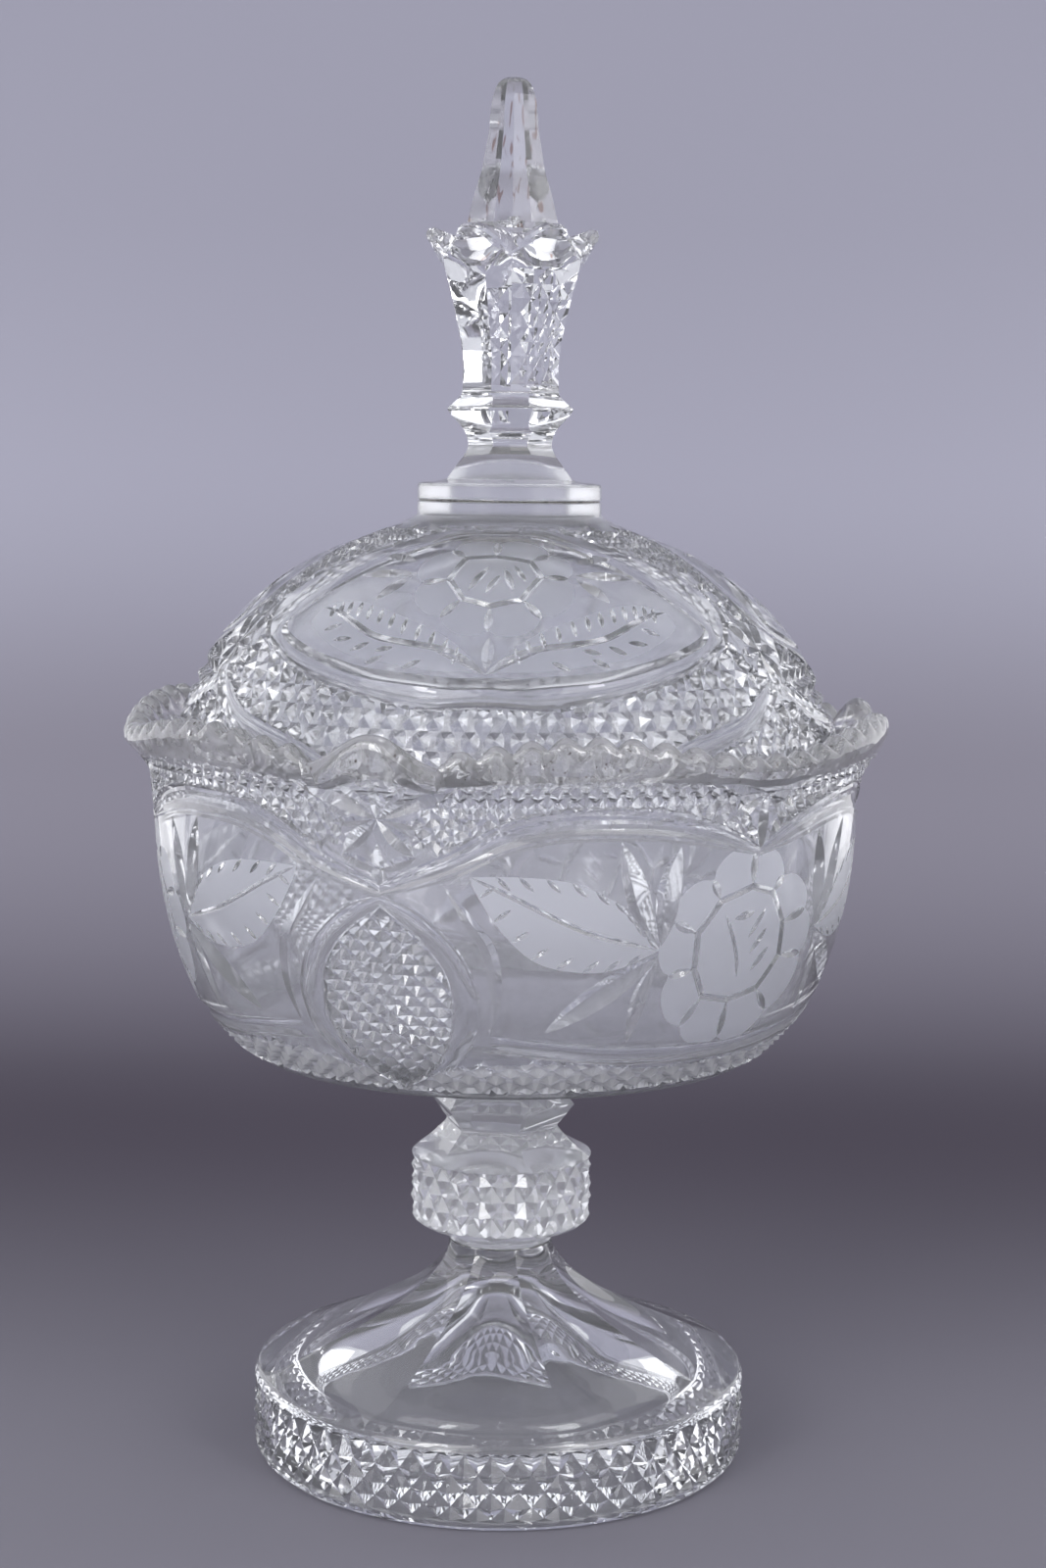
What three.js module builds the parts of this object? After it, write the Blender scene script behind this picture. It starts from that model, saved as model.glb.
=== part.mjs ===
// Lidded pedestal compote in pressed and cut crystal, built as eight separate solids.
// Millimetres, +Z up, the foot stands on z = 0 and the front of the object faces -Y.
// Angles are in degrees, measured from the front (-Y) round towards +X.

import * as THREE from 'three';

// Sizes of the whole object
const TOTAL_HEIGHT = 449.8;
const FRONT_OVAL_ANGLE = -18.3;
const SECTORS = 3;
const SECTOR_ANGLE = 360 / SECTORS;

// Bonded joints
const BOND_THICKNESS = 0.4;
const BOND_INSET = 0.6;

// Foot
const FOOT_RADIUS = 82.4;
const FOOT_BASE_RADIUS = 79;
const FOOT_RIM_HEIGHT = 28;
const FOOT_BEVEL_HEIGHT = 3.6;
const FOOT_RING_WIDTH = 6.5;
const FOOT_NECK_RADIUS = 17.2;
const FOOT_HEIGHT = 70;
const FOOT_HOLLOW_HEIGHT = 53;
const FLUTES = 8;
const FLUTE_RIDGE_ANGLE = 17;
const FLUTE_DEPTH = 2.6;

// Stem, from its bottom face up
const STEM_VERTEX_ANGLE = 16.7;
const STEM_BOTTOM = FOOT_HEIGHT + BOND_THICKNESS;
const KNOP_RADIUS = 30.2;
const KNOP_BOTTOM = 76.8;
const KNOP_TOP = 100.3;
const STEM_NECK_RADIUS = 19;
const STEM_NECK_HEIGHT = 110.2;
const COLLAR_RADIUS = 24.5;
const COLLAR_HEIGHT = 117;
const STEM_TOP_RADIUS = 20.8;
const STEM_TOP = 121.6;

// Bowl
const BOWL_BOTTOM = STEM_TOP + BOND_THICKNESS;
const BOWL_SEAT_RADIUS = 18.4;
const BOWL_EDGE_RADIUS = 84.5;
const BOWL_EDGE_HEIGHT = 138.4;
const BOWL_WALL_RADIUS = 115.9;
const BOWL_WALL_TOP = 229;
const BOWL_FLOOR_THICKNESS = 9;
const BOWL_WALL_THICKNESS = 7;

// Rim of the bowl: teeth on a wave, and a smooth lobe over each oval
const RIM_RADIUS = 124.4;
const RIM_HEIGHT = 246.4;
const RIM_WAVE = 3.5;
const RIM_THICKNESS = 9;
const TOOTH_DEPTH = 3.4;
const TEETH_PER_SECTOR = 21;
const LOBE_HALF_ANGLE = 10;
const LOBE_RISE = 9.9;
const LOBE_STEPS = 8;
const WALL_COARSENESS = 3;

// Ledge that the lid sits on
const LEDGE_HEIGHT = 236;
const LEDGE_OUTER_RADIUS = 110.2;
const LEDGE_INNER_RADIUS = 106.5;

// Lid
const LID_CLEARANCE = 0.8;
const LID_RADIUS = LEDGE_OUTER_RADIUS - LID_CLEARANCE;
const LID_RING_WIDTH = 6.8;
const LID_HOLLOW_HEIGHT = 300.4;
const BOSS_RADIUS = 29.8;
const BOSS_BOTTOM = 310.6;
const BOSS_TOP = 315.6;

// Ornament of the lid: a hollow border round each of three medallions, a hollow arch below it, and sunk
// beds where the diamonds stand, between the arch and the border and between two medallions.
// A flat point is the distance sideways from the medallion's axis and the distance from the lid's top
// towards the viewer, in mm, with the dome's arc laid straight. An arch point is an angle and a height.
const MEDALLION_ANGLE = -3.5;
const BORDER_DEPTH = 1.5;
const ARCH_DEPTH = 1.2;
const DIAMOND_BED_DEPTH = 1.3;
const BED_EDGE_SHARE = 0.12;
const BORDER_OUTER_BELOW = [
  [0, 120.5], [22, 119.4], [38, 112.5], [53, 102.5], [66.8, 88], [75, 72], [78, 60],
];
const BORDER_OUTER_SIDE = [[78, 60], [73, 50], [58, 43], [36, 40], [20, 34.6]];
const BORDER_OUTER_ABOVE = [[0, 36.5], [20, 34.6]];
const BORDER_INNER_BELOW = [[0, 112], [15, 111], [39, 103], [57, 89], [67, 76], [69, 68]];
const BORDER_INNER_SIDE = [[69, 68], [53, 62], [33, 55], [20, 48.3]];
const BORDER_INNER_ABOVE = [[0, 44.4], [11.7, 44.8], [20, 48.3]];
const ARCH_UPPER_EDGE = [
  [0, 238], [20, 239], [27, 241.8], [35, 247.3], [47, 253.1], [56, 262], [60, 265],
];
const ARCH_LOWER_EDGE = [
  [0, 236.8], [25, 237.6], [30, 239], [37, 243.2], [49, 249.2], [55, 254], [60, 259],
];
const MEDALLION_STEPS = 5;
const HALF_SECTOR_COLUMNS = MEDALLION_STEPS + 3;

// Finial
const DISC_BOTTOM = BOSS_TOP + BOND_THICKNESS;
const DISC_TOP = 321.4;
const CROWN_TIP_RADIUS = 27.4;
const CROWN_TIP_HEIGHT = 401.3;
const CROWN_VALLEY_HEIGHT = 392;
const SPIRE_TIP_RADIUS = 5.4;

// Outlines, each point as a share of the piece's full radius and of its height between two named levels
const FOOT_HOLLOW_SHAPE = [
  [0.12, 0.96], [0.25, 0.85], [0.47, 0.7], [0.72, 0.56], [0.88, 0.425], [0.95, 0.28], [0.985, 0.11],
];
const TRUMPET_SHAPE = [
  [0.95, 0.03], [0.85, 0.11], [0.73, 0.22], [0.605, 0.335], [0.485, 0.46],
  [0.38, 0.58], [0.31, 0.69], [0.265, 0.785], [0.235, 0.87], [0.218, 0.943],
];
const FLUTE_SHARES = [0.1, 0.55, 0.9, 1, 1, 0.9, 0.75, 0.6, 0.45, 0.25];
const BOWL_WALL_SHAPE = [
  [0.765, 0.024], [0.804, 0.07], [0.848, 0.14], [0.884, 0.216], [0.928, 0.36],
  [0.959, 0.505], [0.977, 0.636], [0.986, 0.78], [0.995, 0.912], [1, 1],
];
const LID_SHAPE = [
  [1, 0], [0.992, 0.054], [0.976, 0.121], [0.953, 0.2], [0.925, 0.298], [0.887, 0.4], [0.841, 0.496],
  [0.782, 0.594], [0.71, 0.692], [0.623, 0.78], [0.521, 0.858], [0.407, 0.92], [0.304, 0.976],
];
const LID_HOLLOW_SHAPE = [
  [0.18, 0.984], [0.33, 0.944], [0.475, 0.866], [0.595, 0.767], [0.695, 0.646],
  [0.777, 0.512], [0.841, 0.366], [0.887, 0.217], [0.918, 0.093],
];
const FINIAL_BODY_SHAPE = [
  [0.605, 0.048], [0.518, 0.075], [0.489, 0.098], [0.54, 0.132], [0.723, 0.178], [0.57, 0.218],
  [0.555, 0.3], [0.584, 0.35], [0.635, 0.402], [0.693, 0.456], [0.76, 0.511],
];
const SPIRE_SHAPE = [
  [0.526, 0.64], [0.445, 0.712], [0.372, 0.763], [0.325, 0.822], [0.274, 0.908], [0.241, 0.966],
];

// Roundness of the round pieces
const ROUND_STEPS = 60;
const SMALL_ROUND_STEPS = 48;
const FLUTE_STEPS = 8;
const FACE_RATIO = Math.cos(Math.PI / 6);

/** Evenly spaced angles for one turn, starting at the given angle. */
function evenAngles(count, start = 0) {
  return Array.from({ length: count }, (_, i) => start + (360 * i) / count);
}

/** Point at an angle from the front, at a radius and a height. */
function polarPoint(angle, radius, height) {
  const turn = THREE.MathUtils.degToRad(angle);
  return [radius * Math.sin(turn), -radius * Math.cos(turn), height];
}

/** Ring whose radius and height may change with the angle. */
function ring(angles, radiusAt, heightAt) {
  const points = angles.map((angle, i) => polarPoint(angle, radiusAt(angle, i), heightAt(angle, i)));
  return { angles, points };
}

/** Round ring. */
function roundRing(angles, radius, height) {
  return ring(angles, () => radius, () => height);
}

/** Twelve-point ring of a hexagon: corners at the start angle, then the middles of the sides. */
function hexRing(start, cornerRadius, height, sideRadius = cornerRadius * FACE_RATIO, sideHeight = height) {
  const isCorner = (i) => i % 2 === 0;
  return ring(
    evenAngles(12, start),
    (angle, i) => (isCorner(i) ? cornerRadius : sideRadius),
    (angle, i) => (isCorner(i) ? height : sideHeight),
  );
}

/**
 * Closed solid through a stack of rings, with a point on the axis at each end.
 * The outline runs from the first point to the last with the glass on its left, seen on the +X side.
 * Neighbouring rings may have different numbers of points, and start at the same angle.
 */
function solidThroughRings(firstHeight, rings, lastHeight) {
  const positions = [[0, 0, firstHeight]];
  const triangles = [];
  const starts = rings.map((one) => {
    const start = positions.length;
    positions.push(...one.points);
    return start;
  });
  const last = positions.length;
  positions.push([0, 0, lastHeight]);

  const capCount = rings[0].angles.length;
  for (let i = 0; i < capCount; i += 1) {
    triangles.push([0, starts[0] + ((i + 1) % capCount), starts[0] + i]);
  }
  for (let k = 0; k + 1 < rings.length; k += 1) {
    const alike = rings[k].numbered && rings[k + 1].numbered;
    triangles.push(...(alike
      ? stitchNumbered(rings[k].points, starts[k], rings[k + 1].points, starts[k + 1])
      : stitch(rings[k].angles, starts[k], rings[k + 1].angles, starts[k + 1])));
  }
  const topStart = starts[rings.length - 1];
  const topCount = rings[rings.length - 1].angles.length;
  for (let i = 0; i < topCount; i += 1) {
    triangles.push([topStart + i, topStart + ((i + 1) % topCount), last]);
  }

  const geometry = new THREE.BufferGeometry();
  geometry.setAttribute('position', new THREE.Float32BufferAttribute(positions.flat(), 3));
  geometry.setIndex(triangles.flat());
  geometry.computeVertexNormals();
  return geometry;
}

/** Triangles between two rings, made by stepping along whichever ring is behind. */
function stitch(lowerAngles, lowerStart, upperAngles, upperStart) {
  const triangles = [];
  const lowerCount = lowerAngles.length;
  const upperCount = upperAngles.length;
  const angleAt = (angles, i) => (i < angles.length ? angles[i] : angles[0] + 360);
  const tolerance = 1e-6;
  let i = 0;
  let j = 0;
  while (i < lowerCount || j < upperCount) {
    const lowerNext = i < lowerCount ? angleAt(lowerAngles, i + 1) : Infinity;
    const upperNext = j < upperCount ? angleAt(upperAngles, j + 1) : Infinity;
    const lower = lowerStart + (i % lowerCount);
    const upper = upperStart + (j % upperCount);
    if (lowerNext <= upperNext + tolerance) {
      i += 1;
      triangles.push([lower, lowerStart + (i % lowerCount), upper]);
    } else {
      j += 1;
      triangles.push([lower, upperStart + (j % upperCount), upper]);
    }
  }
  return triangles;
}

/** Triangles between two rings whose points belong together by number, split along the shorter diagonal. */
function stitchNumbered(lower, lowerStart, upper, upperStart) {
  const distance = (a, b) => Math.hypot(a[0] - b[0], a[1] - b[1], a[2] - b[2]);
  const count = lower.length;
  return lower.flatMap((point, i) => {
    const next = (i + 1) % count;
    const corners = [lowerStart + i, lowerStart + next, upperStart + next, upperStart + i];
    const [a, b, c, d] = corners;
    const isRisingShorter = distance(point, upper[next]) < distance(lower[next], upper[i]);
    return isRisingShorter ? [[a, b, c], [a, c, d]] : [[a, b, d], [b, c, d]];
  });
}

/** Turns an outline in shares into radii and heights, between a low and a high level. */
function outlineFrom(shape, fullRadius, lowLevel, highLevel) {
  return shape.map(([across, up]) => [across * fullRadius, THREE.MathUtils.lerp(lowLevel, highLevel, up)]);
}

/** Moves every point of an outline sideways, to the right of its direction for a positive distance. */
function offsetOutline(outline, distance) {
  return outline.map(([radius, height], i) => {
    const [r0, z0] = outline[Math.max(i - 1, 0)];
    const [r1, z1] = outline[Math.min(i + 1, outline.length - 1)];
    const length = Math.hypot(r1 - r0, z1 - z0);
    return [radius + (distance * (z1 - z0)) / length, height - (distance * (r1 - r0)) / length];
  });
}

/** Clear glass material. */
function clearGlass(color) {
  const clear = { transparent: true, opacity: 0.35 };
  return new THREE.MeshStandardMaterial({ color, roughness: 0.05, metalness: 0, ...clear });
}

/** Named mesh with its own material. */
function piece(name, geometry, material) {
  const mesh = new THREE.Mesh(geometry, material);
  mesh.name = name;
  return mesh;
}

/** Flat round film of clear adhesive between two glass faces. */
function bondFilm(name, radius, bottom, start) {
  const angles = evenAngles(SMALL_ROUND_STEPS, start);
  const rings = [roundRing(angles, radius, bottom), roundRing(angles, radius, bottom + BOND_THICKNESS)];
  const geometry = solidThroughRings(bottom, rings, bottom + BOND_THICKNESS);
  const material = new THREE.MeshStandardMaterial({ color: 0xcfc8b8, roughness: 0.35, metalness: 0 });
  return piece(name, geometry, material);
}

/** Trumpet shaped foot with eight hollow flutes on top, a plain standing ring and a hollow underneath. */
function makeFoot() {
  const flutedAngles = evenAngles(FLUTES * FLUTE_STEPS, FLUTE_RIDGE_ANGLE);
  const plainAngles = evenAngles(FLUTES * FLUTE_STEPS / 2, FLUTE_RIDGE_ANGLE);
  const innerRadius = FOOT_BASE_RADIUS - FOOT_RING_WIDTH;

  const hollow = outlineFrom(FOOT_HOLLOW_SHAPE, innerRadius, 0, FOOT_HOLLOW_HEIGHT)
    .map(([radius, height]) => roundRing(plainAngles, radius, height));

  const rim = [
    roundRing(plainAngles, innerRadius, 0),
    roundRing(flutedAngles, FOOT_BASE_RADIUS, 0),
    roundRing(flutedAngles, FOOT_RADIUS - 0.6, FOOT_BEVEL_HEIGHT),
    roundRing(flutedAngles, FOOT_RADIUS, FOOT_BEVEL_HEIGHT + 4),
    roundRing(flutedAngles, FOOT_RADIUS - 0.5, FOOT_RIM_HEIGHT - 1.2),
    roundRing(flutedAngles, FOOT_RADIUS - 1.4, FOOT_RIM_HEIGHT),
  ];

  const ridge = outlineFrom(TRUMPET_SHAPE, FOOT_RADIUS, FOOT_RIM_HEIGHT, FOOT_HEIGHT);
  const sunk = offsetOutline(ridge, -FLUTE_DEPTH);
  const fluteShare = (angle) => {
    const turn = THREE.MathUtils.degToRad(angle - FLUTE_RIDGE_ANGLE);
    return Math.abs(Math.sin((FLUTES / 2) * turn));
  };
  const fluted = ridge.map(([radius, height], k) => {
    const depthAt = (angle) => FLUTE_SHARES[k] * fluteShare(angle);
    return ring(
      flutedAngles,
      (angle) => THREE.MathUtils.lerp(radius, sunk[k][0], depthAt(angle)),
      (angle) => THREE.MathUtils.lerp(height, sunk[k][1], depthAt(angle)),
    );
  });

  const neck = roundRing(flutedAngles, FOOT_NECK_RADIUS, FOOT_HEIGHT);
  const geometry = solidThroughRings(FOOT_HOLLOW_HEIGHT, [...hollow, ...rim, ...fluted, neck], FOOT_HEIGHT);
  return piece('foot', geometry, clearGlass(0xe4e6ee));
}

/** Solid stem: round knop with hexagonal shoulders, a hexagonal neck and a flared hexagonal collar. */
function makeStem() {
  const angles = evenAngles(SMALL_ROUND_STEPS, STEM_VERTEX_ANGLE);
  const halfSide = 30;
  const shoulder = (share) => {
    const radius = THREE.MathUtils.lerp(STEM_NECK_RADIUS, KNOP_RADIUS - 0.6, share);
    const height = THREE.MathUtils.lerp(STEM_NECK_HEIGHT - 0.9, KNOP_TOP, share);
    return ring(
      angles,
      (angle) => {
        const fromSide = ((angle - STEM_VERTEX_ANGLE + 360) % 60) - halfSide;
        const hexRadius = (radius * FACE_RATIO) / Math.cos(THREE.MathUtils.degToRad(fromSide));
        return THREE.MathUtils.lerp(hexRadius, radius, share);
      },
      () => height,
    );
  };
  const rings = [
    roundRing(angles, FOOT_NECK_RADIUS, STEM_BOTTOM),
    roundRing(angles, FOOT_NECK_RADIUS, STEM_BOTTOM + 1.6),
    roundRing(angles, FOOT_NECK_RADIUS + 2.2, STEM_BOTTOM + 3),
    roundRing(angles, KNOP_RADIUS - 2.2, KNOP_BOTTOM),
    roundRing(angles, KNOP_RADIUS - 0.6, KNOP_BOTTOM + 1.2),
    roundRing(angles, KNOP_RADIUS, KNOP_BOTTOM + 3.2),
    roundRing(angles, KNOP_RADIUS - 0.4, KNOP_TOP - 2),
    shoulder(1),
    shoulder(0.5),
    shoulder(0),
    hexRing(STEM_VERTEX_ANGLE, STEM_NECK_RADIUS, STEM_NECK_HEIGHT),
    hexRing(STEM_VERTEX_ANGLE, STEM_NECK_RADIUS + 0.7, STEM_NECK_HEIGHT + 0.4),
    hexRing(STEM_VERTEX_ANGLE, COLLAR_RADIUS, COLLAR_HEIGHT),
    hexRing(STEM_VERTEX_ANGLE, COLLAR_RADIUS - 0.3, COLLAR_HEIGHT + 0.7),
    hexRing(STEM_VERTEX_ANGLE, STEM_TOP_RADIUS, STEM_TOP),
  ];
  return piece('stem', solidThroughRings(STEM_BOTTOM, rings, STEM_TOP), clearGlass(0xe6e8f0));
}

/** Angles of the rim: even steps over the smooth lobe, then a low and a high point for every tooth. */
function rimAngles() {
  const angles = [];
  const toothSteps = 2 * TEETH_PER_SECTOR;
  const toothedAngle = SECTOR_ANGLE - 2 * LOBE_HALF_ANGLE;
  for (let sector = 0; sector < SECTORS; sector += 1) {
    const start = FRONT_OVAL_ANGLE - LOBE_HALF_ANGLE + sector * SECTOR_ANGLE;
    for (let i = 0; i < LOBE_STEPS; i += 1) {
      angles.push(start + (2 * LOBE_HALF_ANGLE * i) / LOBE_STEPS);
    }
    for (let i = 0; i < toothSteps; i += 1) {
      angles.push(start + 2 * LOBE_HALF_ANGLE + (toothedAngle * i) / toothSteps);
    }
  }
  return angles;
}

/** Height of the rim above its mean level: a wave with teeth, and the smooth lobe over each oval. */
function rimRise(angle, index) {
  const stepsPerSector = LOBE_STEPS + 2 * TEETH_PER_SECTOR;
  const step = index % stepsPerSector;
  const low = -RIM_WAVE - TOOTH_DEPTH / 2;
  if (step < LOBE_STEPS) {
    const share = (2 * step) / LOBE_STEPS - 1;
    const bell = Math.cos((Math.PI / 2) * share) ** 2;
    return low + LOBE_RISE * bell;
  }
  const turn = THREE.MathUtils.degToRad(angle - FRONT_OVAL_ANGLE);
  const wave = -RIM_WAVE * Math.cos(2 * SECTORS * turn);
  const tooth = (step - LOBE_STEPS) % 2 === 0 ? -TOOTH_DEPTH / 2 : TOOTH_DEPTH / 2;
  return wave + tooth;
}

/** Deep round bowl with a flared, scalloped and toothed rim and a ledge inside for the lid. */
function makeBowl() {
  const fine = rimAngles();
  const coarse = fine.filter((_, i) => i % WALL_COARSENESS === 0);

  const wall = outlineFrom(BOWL_WALL_SHAPE, BOWL_WALL_RADIUS, BOWL_EDGE_HEIGHT, BOWL_WALL_TOP);
  const underside = [
    [BOWL_SEAT_RADIUS, BOWL_BOTTOM],
    [BOWL_SEAT_RADIUS + 4, BOWL_BOTTOM + 0.9],
    [BOWL_EDGE_RADIUS - 4, BOWL_EDGE_HEIGHT - 1.6],
    [BOWL_EDGE_RADIUS, BOWL_EDGE_HEIGHT],
  ];
  const inside = offsetOutline(wall.slice(1, 7), -BOWL_WALL_THICKNESS).reverse();
  const floorHeight = BOWL_BOTTOM + BOWL_FLOOR_THICKNESS;
  const floor = [
    [BOWL_EDGE_RADIUS * 0.9, BOWL_EDGE_HEIGHT + 5.2],
    [BOWL_EDGE_RADIUS * 0.71, BOWL_EDGE_HEIGHT + 0.8],
    [BOWL_EDGE_RADIUS * 0.355, floorHeight + 1.6],
  ];

  const wavyRing = (radius, height, share) => (
    ring(fine, () => radius, (angle, i) => height + share * rimRise(angle, i))
  );
  const crestRadius = RIM_RADIUS - 3.6;
  const flareWidth = RIM_RADIUS - BOWL_WALL_RADIUS;
  const flareHeight = RIM_HEIGHT - BOWL_WALL_TOP;
  const flare = [
    wavyRing(BOWL_WALL_RADIUS + 0.28 * flareWidth, BOWL_WALL_TOP + 0.22 * flareHeight, 0.1),
    wavyRing(BOWL_WALL_RADIUS + 0.67 * flareWidth, BOWL_WALL_TOP + 0.48 * flareHeight, 0.35),
    wavyRing(RIM_RADIUS, RIM_HEIGHT - 4.8, 0.8),
    wavyRing(RIM_RADIUS - 0.7, RIM_HEIGHT - 2, 1),
    wavyRing(crestRadius, RIM_HEIGHT, 1),
    wavyRing(crestRadius - 3.4, RIM_HEIGHT - 1.8, 1),
    wavyRing(RIM_RADIUS - RIM_THICKNESS, RIM_HEIGHT - 4.8, 0.8),
    wavyRing(LEDGE_OUTER_RADIUS + 2.2, LEDGE_HEIGHT + 3.4, 0.3),
  ];
  const ledge = [
    roundRing(coarse, LEDGE_OUTER_RADIUS, LEDGE_HEIGHT),
    roundRing(coarse, LEDGE_INNER_RADIUS, LEDGE_HEIGHT),
    roundRing(coarse, LEDGE_INNER_RADIUS - 0.1, LEDGE_HEIGHT - 16),
  ];
  const coarseRings = (outline) => outline.map(([radius, height]) => roundRing(coarse, radius, height));

  const rings = [
    ...coarseRings(underside),
    ...coarseRings(wall),
    ...flare,
    ...ledge,
    ...coarseRings(inside),
    ...coarseRings(floor),
  ];
  return piece('bowl', solidThroughRings(BOWL_BOTTOM, rings, floorHeight), clearGlass(0xe2e5ec));
}

/** Smooth flat line through points. */
function smoothLine(points) {
  return new THREE.SplineCurve(points.map(([x, y]) => new THREE.Vector2(x, y)));
}

/** Point halfway between two flat points. */
function middle(a, b) {
  return a.clone().lerp(b, 0.5);
}

/** Value at x of a line through points, the points rising in x. */
function valueAt(points, x) {
  const i = Math.max(1, points.findIndex(([px]) => px >= x));
  const [[x0, y0], [x1, y1]] = [points[i - 1], points[i]];
  return THREE.MathUtils.mapLinear(x, x0, x1, y0, y1);
}

/**
 * Rows of flat nodes over the right half of a medallion and its border, from below it to above it.
 * Each row runs from the medallion's axis to the border's outer edge, and says which nodes are sunk.
 */
function medallionRows() {
  const below = smoothLine(BORDER_INNER_BELOW);
  const above = smoothLine(BORDER_INNER_ABOVE);
  const side = smoothLine(BORDER_INNER_SIDE);
  const outerBelow = smoothLine(BORDER_OUTER_BELOW);
  const outerAbove = smoothLine(BORDER_OUTER_ABOVE);
  const outerSide = smoothLine(BORDER_OUTER_SIDE);
  const steps = Array.from({ length: MEDALLION_STEPS + 1 }, (_, i) => i / MEDALLION_STEPS);
  const cornerShare = 0.88;
  const outerShares = [...steps.map((step) => cornerShare * step), (1 + cornerShare) / 2, 1];

  const inner = steps.map((t) => {
    const corner = below.getPointAt(1).lerp(above.getPointAt(1), t);
    const offset = side.getPointAt(t).sub(corner);
    return steps.map((s) => below.getPointAt(s).lerp(above.getPointAt(s), t).addScaledVector(offset, s));
  });
  const sideRow = (row, t) => {
    const edge = outerSide.getPointAt(THREE.MathUtils.lerp(1 - cornerShare, cornerShare, t));
    const isSunk = (column) => column === MEDALLION_STEPS + 1;
    return { nodes: [...row, middle(row.at(-1), edge), edge], isSunk };
  };
  const cornerRow = (innerRow, outerRow, edge) => {
    const corner = middle(innerRow.at(-1), outerRow.at(-1));
    const nodes = [...innerRow.map((node, i) => middle(node, outerRow[i])), corner, edge];
    return { nodes, isSunk: (column) => column <= MEDALLION_STEPS + 1 };
  };
  const lowest = outerShares.map((share) => outerBelow.getPointAt(share));
  const highest = outerShares.map((share) => outerAbove.getPointAt(share));
  const halfCorner = (1 - cornerShare) / 2;
  return [
    { nodes: lowest, isSunk: () => false },
    cornerRow(inner[0], lowest, outerSide.getPointAt(halfCorner)),
    ...inner.map((row, i) => sideRow(row, steps[i])),
    cornerRow(inner.at(-1), highest, outerSide.getPointAt(1 - halfCorner)),
    { nodes: highest, isSunk: () => false },
  ];
}

/** Numbered ring from half a sector's nodes, each an angle from its axis, a place on the dome and a depth. */
function domeRing(dome, half) {
  const columns = Array.from({ length: 2 * HALF_SECTOR_COLUMNS }, (_, i) => i - HALF_SECTOR_COLUMNS);
  const angles = [];
  const points = [];
  for (let sector = 0; sector < SECTORS; sector += 1) {
    columns.forEach((column) => {
      const { angle, share, depth } = half[Math.abs(column)];
      const at = dome.getPointAt(share);
      const along = dome.getTangentAt(share);
      angles.push(MEDALLION_ANGLE + sector * SECTOR_ANGLE + Math.sign(column) * angle);
      points.push(polarPoint(angles.at(-1), at.x - depth * along.y, at.y + depth * along.x));
    });
  }
  return { angles, points, numbered: true };
}

/** Rings of the dome's outside, from its bottom edge to the boss, with the borders and arches sunk in. */
function domeRings() {
  const outside = outlineFrom(LID_SHAPE, LID_RADIUS, LEDGE_HEIGHT, BOSS_BOTTOM);
  const dome = smoothLine([...outside, [BOSS_RADIUS, BOSS_BOTTOM]]);
  const domeLength = dome.getLength();
  const arcFromTop = domeLength + BOSS_RADIUS;
  const halfSector = SECTOR_ANGLE / 2;
  const shareOf = (distance) => (arcFromTop - distance) / domeLength;
  const medallionTipShare = shareOf(Math.hypot(...BORDER_OUTER_SIDE[1]));

  const medallion = medallionRows().map(({ nodes, isSunk }) => {
    const half = nodes.map((node, column) => ({
      angle: THREE.MathUtils.radToDeg(Math.atan2(node.x, node.y)),
      share: shareOf(node.length()),
      depth: isSunk(column) ? BORDER_DEPTH : 0,
    }));
    const share = half.at(-1).share;
    const depth = share > medallionTipShare ? DIAMOND_BED_DEPTH : 0;
    return [...half, { angle: halfSector, share, depth }];
  });

  const shareByHeight = Array.from({ length: 101 }, (_, i) => [dome.getPointAt(i / 100).y, i / 100]);
  const lowest = medallion[0];
  const archRow = (heightOf, depth) => lowest.map(({ angle }) => (
    { angle, share: valueAt(shareByHeight, heightOf(angle)), depth: depth(angle) }
  ));
  const upper = (angle) => valueAt(ARCH_UPPER_EDGE, angle);
  const lower = (angle) => valueAt(ARCH_LOWER_EDGE, angle);
  const none = () => 0;
  const full = (angle) => ARCH_DEPTH * THREE.MathUtils.smoothstep(angle, 20, 30);
  const arch = [
    archRow(() => LEDGE_HEIGHT, none),
    archRow(lower, none),
    archRow((angle) => (lower(angle) + upper(angle)) / 2, full),
    archRow(upper, none),
  ];
  const bedRow = (toMedallion) => lowest.map(({ angle, share }, i) => {
    const archShare = arch.at(-1)[i].share;
    const depth = i < HALF_SECTOR_COLUMNS ? DIAMOND_BED_DEPTH : 0;
    return { angle, share: THREE.MathUtils.lerp(archShare, share, toMedallion), depth };
  });
  const bed = [BED_EDGE_SHARE, 0.5, 1 - BED_EDGE_SHARE].map(bedRow);
  const top = lowest.map((_, i) => ({ angle: (halfSector * i) / HALF_SECTOR_COLUMNS, share: 1, depth: 0 }));
  return [...arch, ...bed, ...medallion, top].map((half) => domeRing(dome, half));
}

/** Domed hollow lid with hollow bordered medallions, a plain bottom ring and a flat boss for the finial. */
function makeLid() {
  const start = MEDALLION_ANGLE - SECTOR_ANGLE / 2;
  const hollowAngles = evenAngles(ROUND_STEPS, start);
  const bossAngles = evenAngles(2 * SECTORS * HALF_SECTOR_COLUMNS, start);
  const hollow = outlineFrom(LID_HOLLOW_SHAPE, LID_RADIUS, LEDGE_HEIGHT, LID_HOLLOW_HEIGHT);
  const rings = [
    ...hollow.map(([radius, height]) => roundRing(hollowAngles, radius, height)),
    roundRing(hollowAngles, LID_RADIUS - LID_RING_WIDTH, LEDGE_HEIGHT),
    ...domeRings(),
    roundRing(bossAngles, BOSS_RADIUS, BOSS_TOP),
  ];
  return piece('lid', solidThroughRings(LID_HOLLOW_HEIGHT, rings, BOSS_TOP), clearGlass(0xe2e5ec));
}

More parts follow.
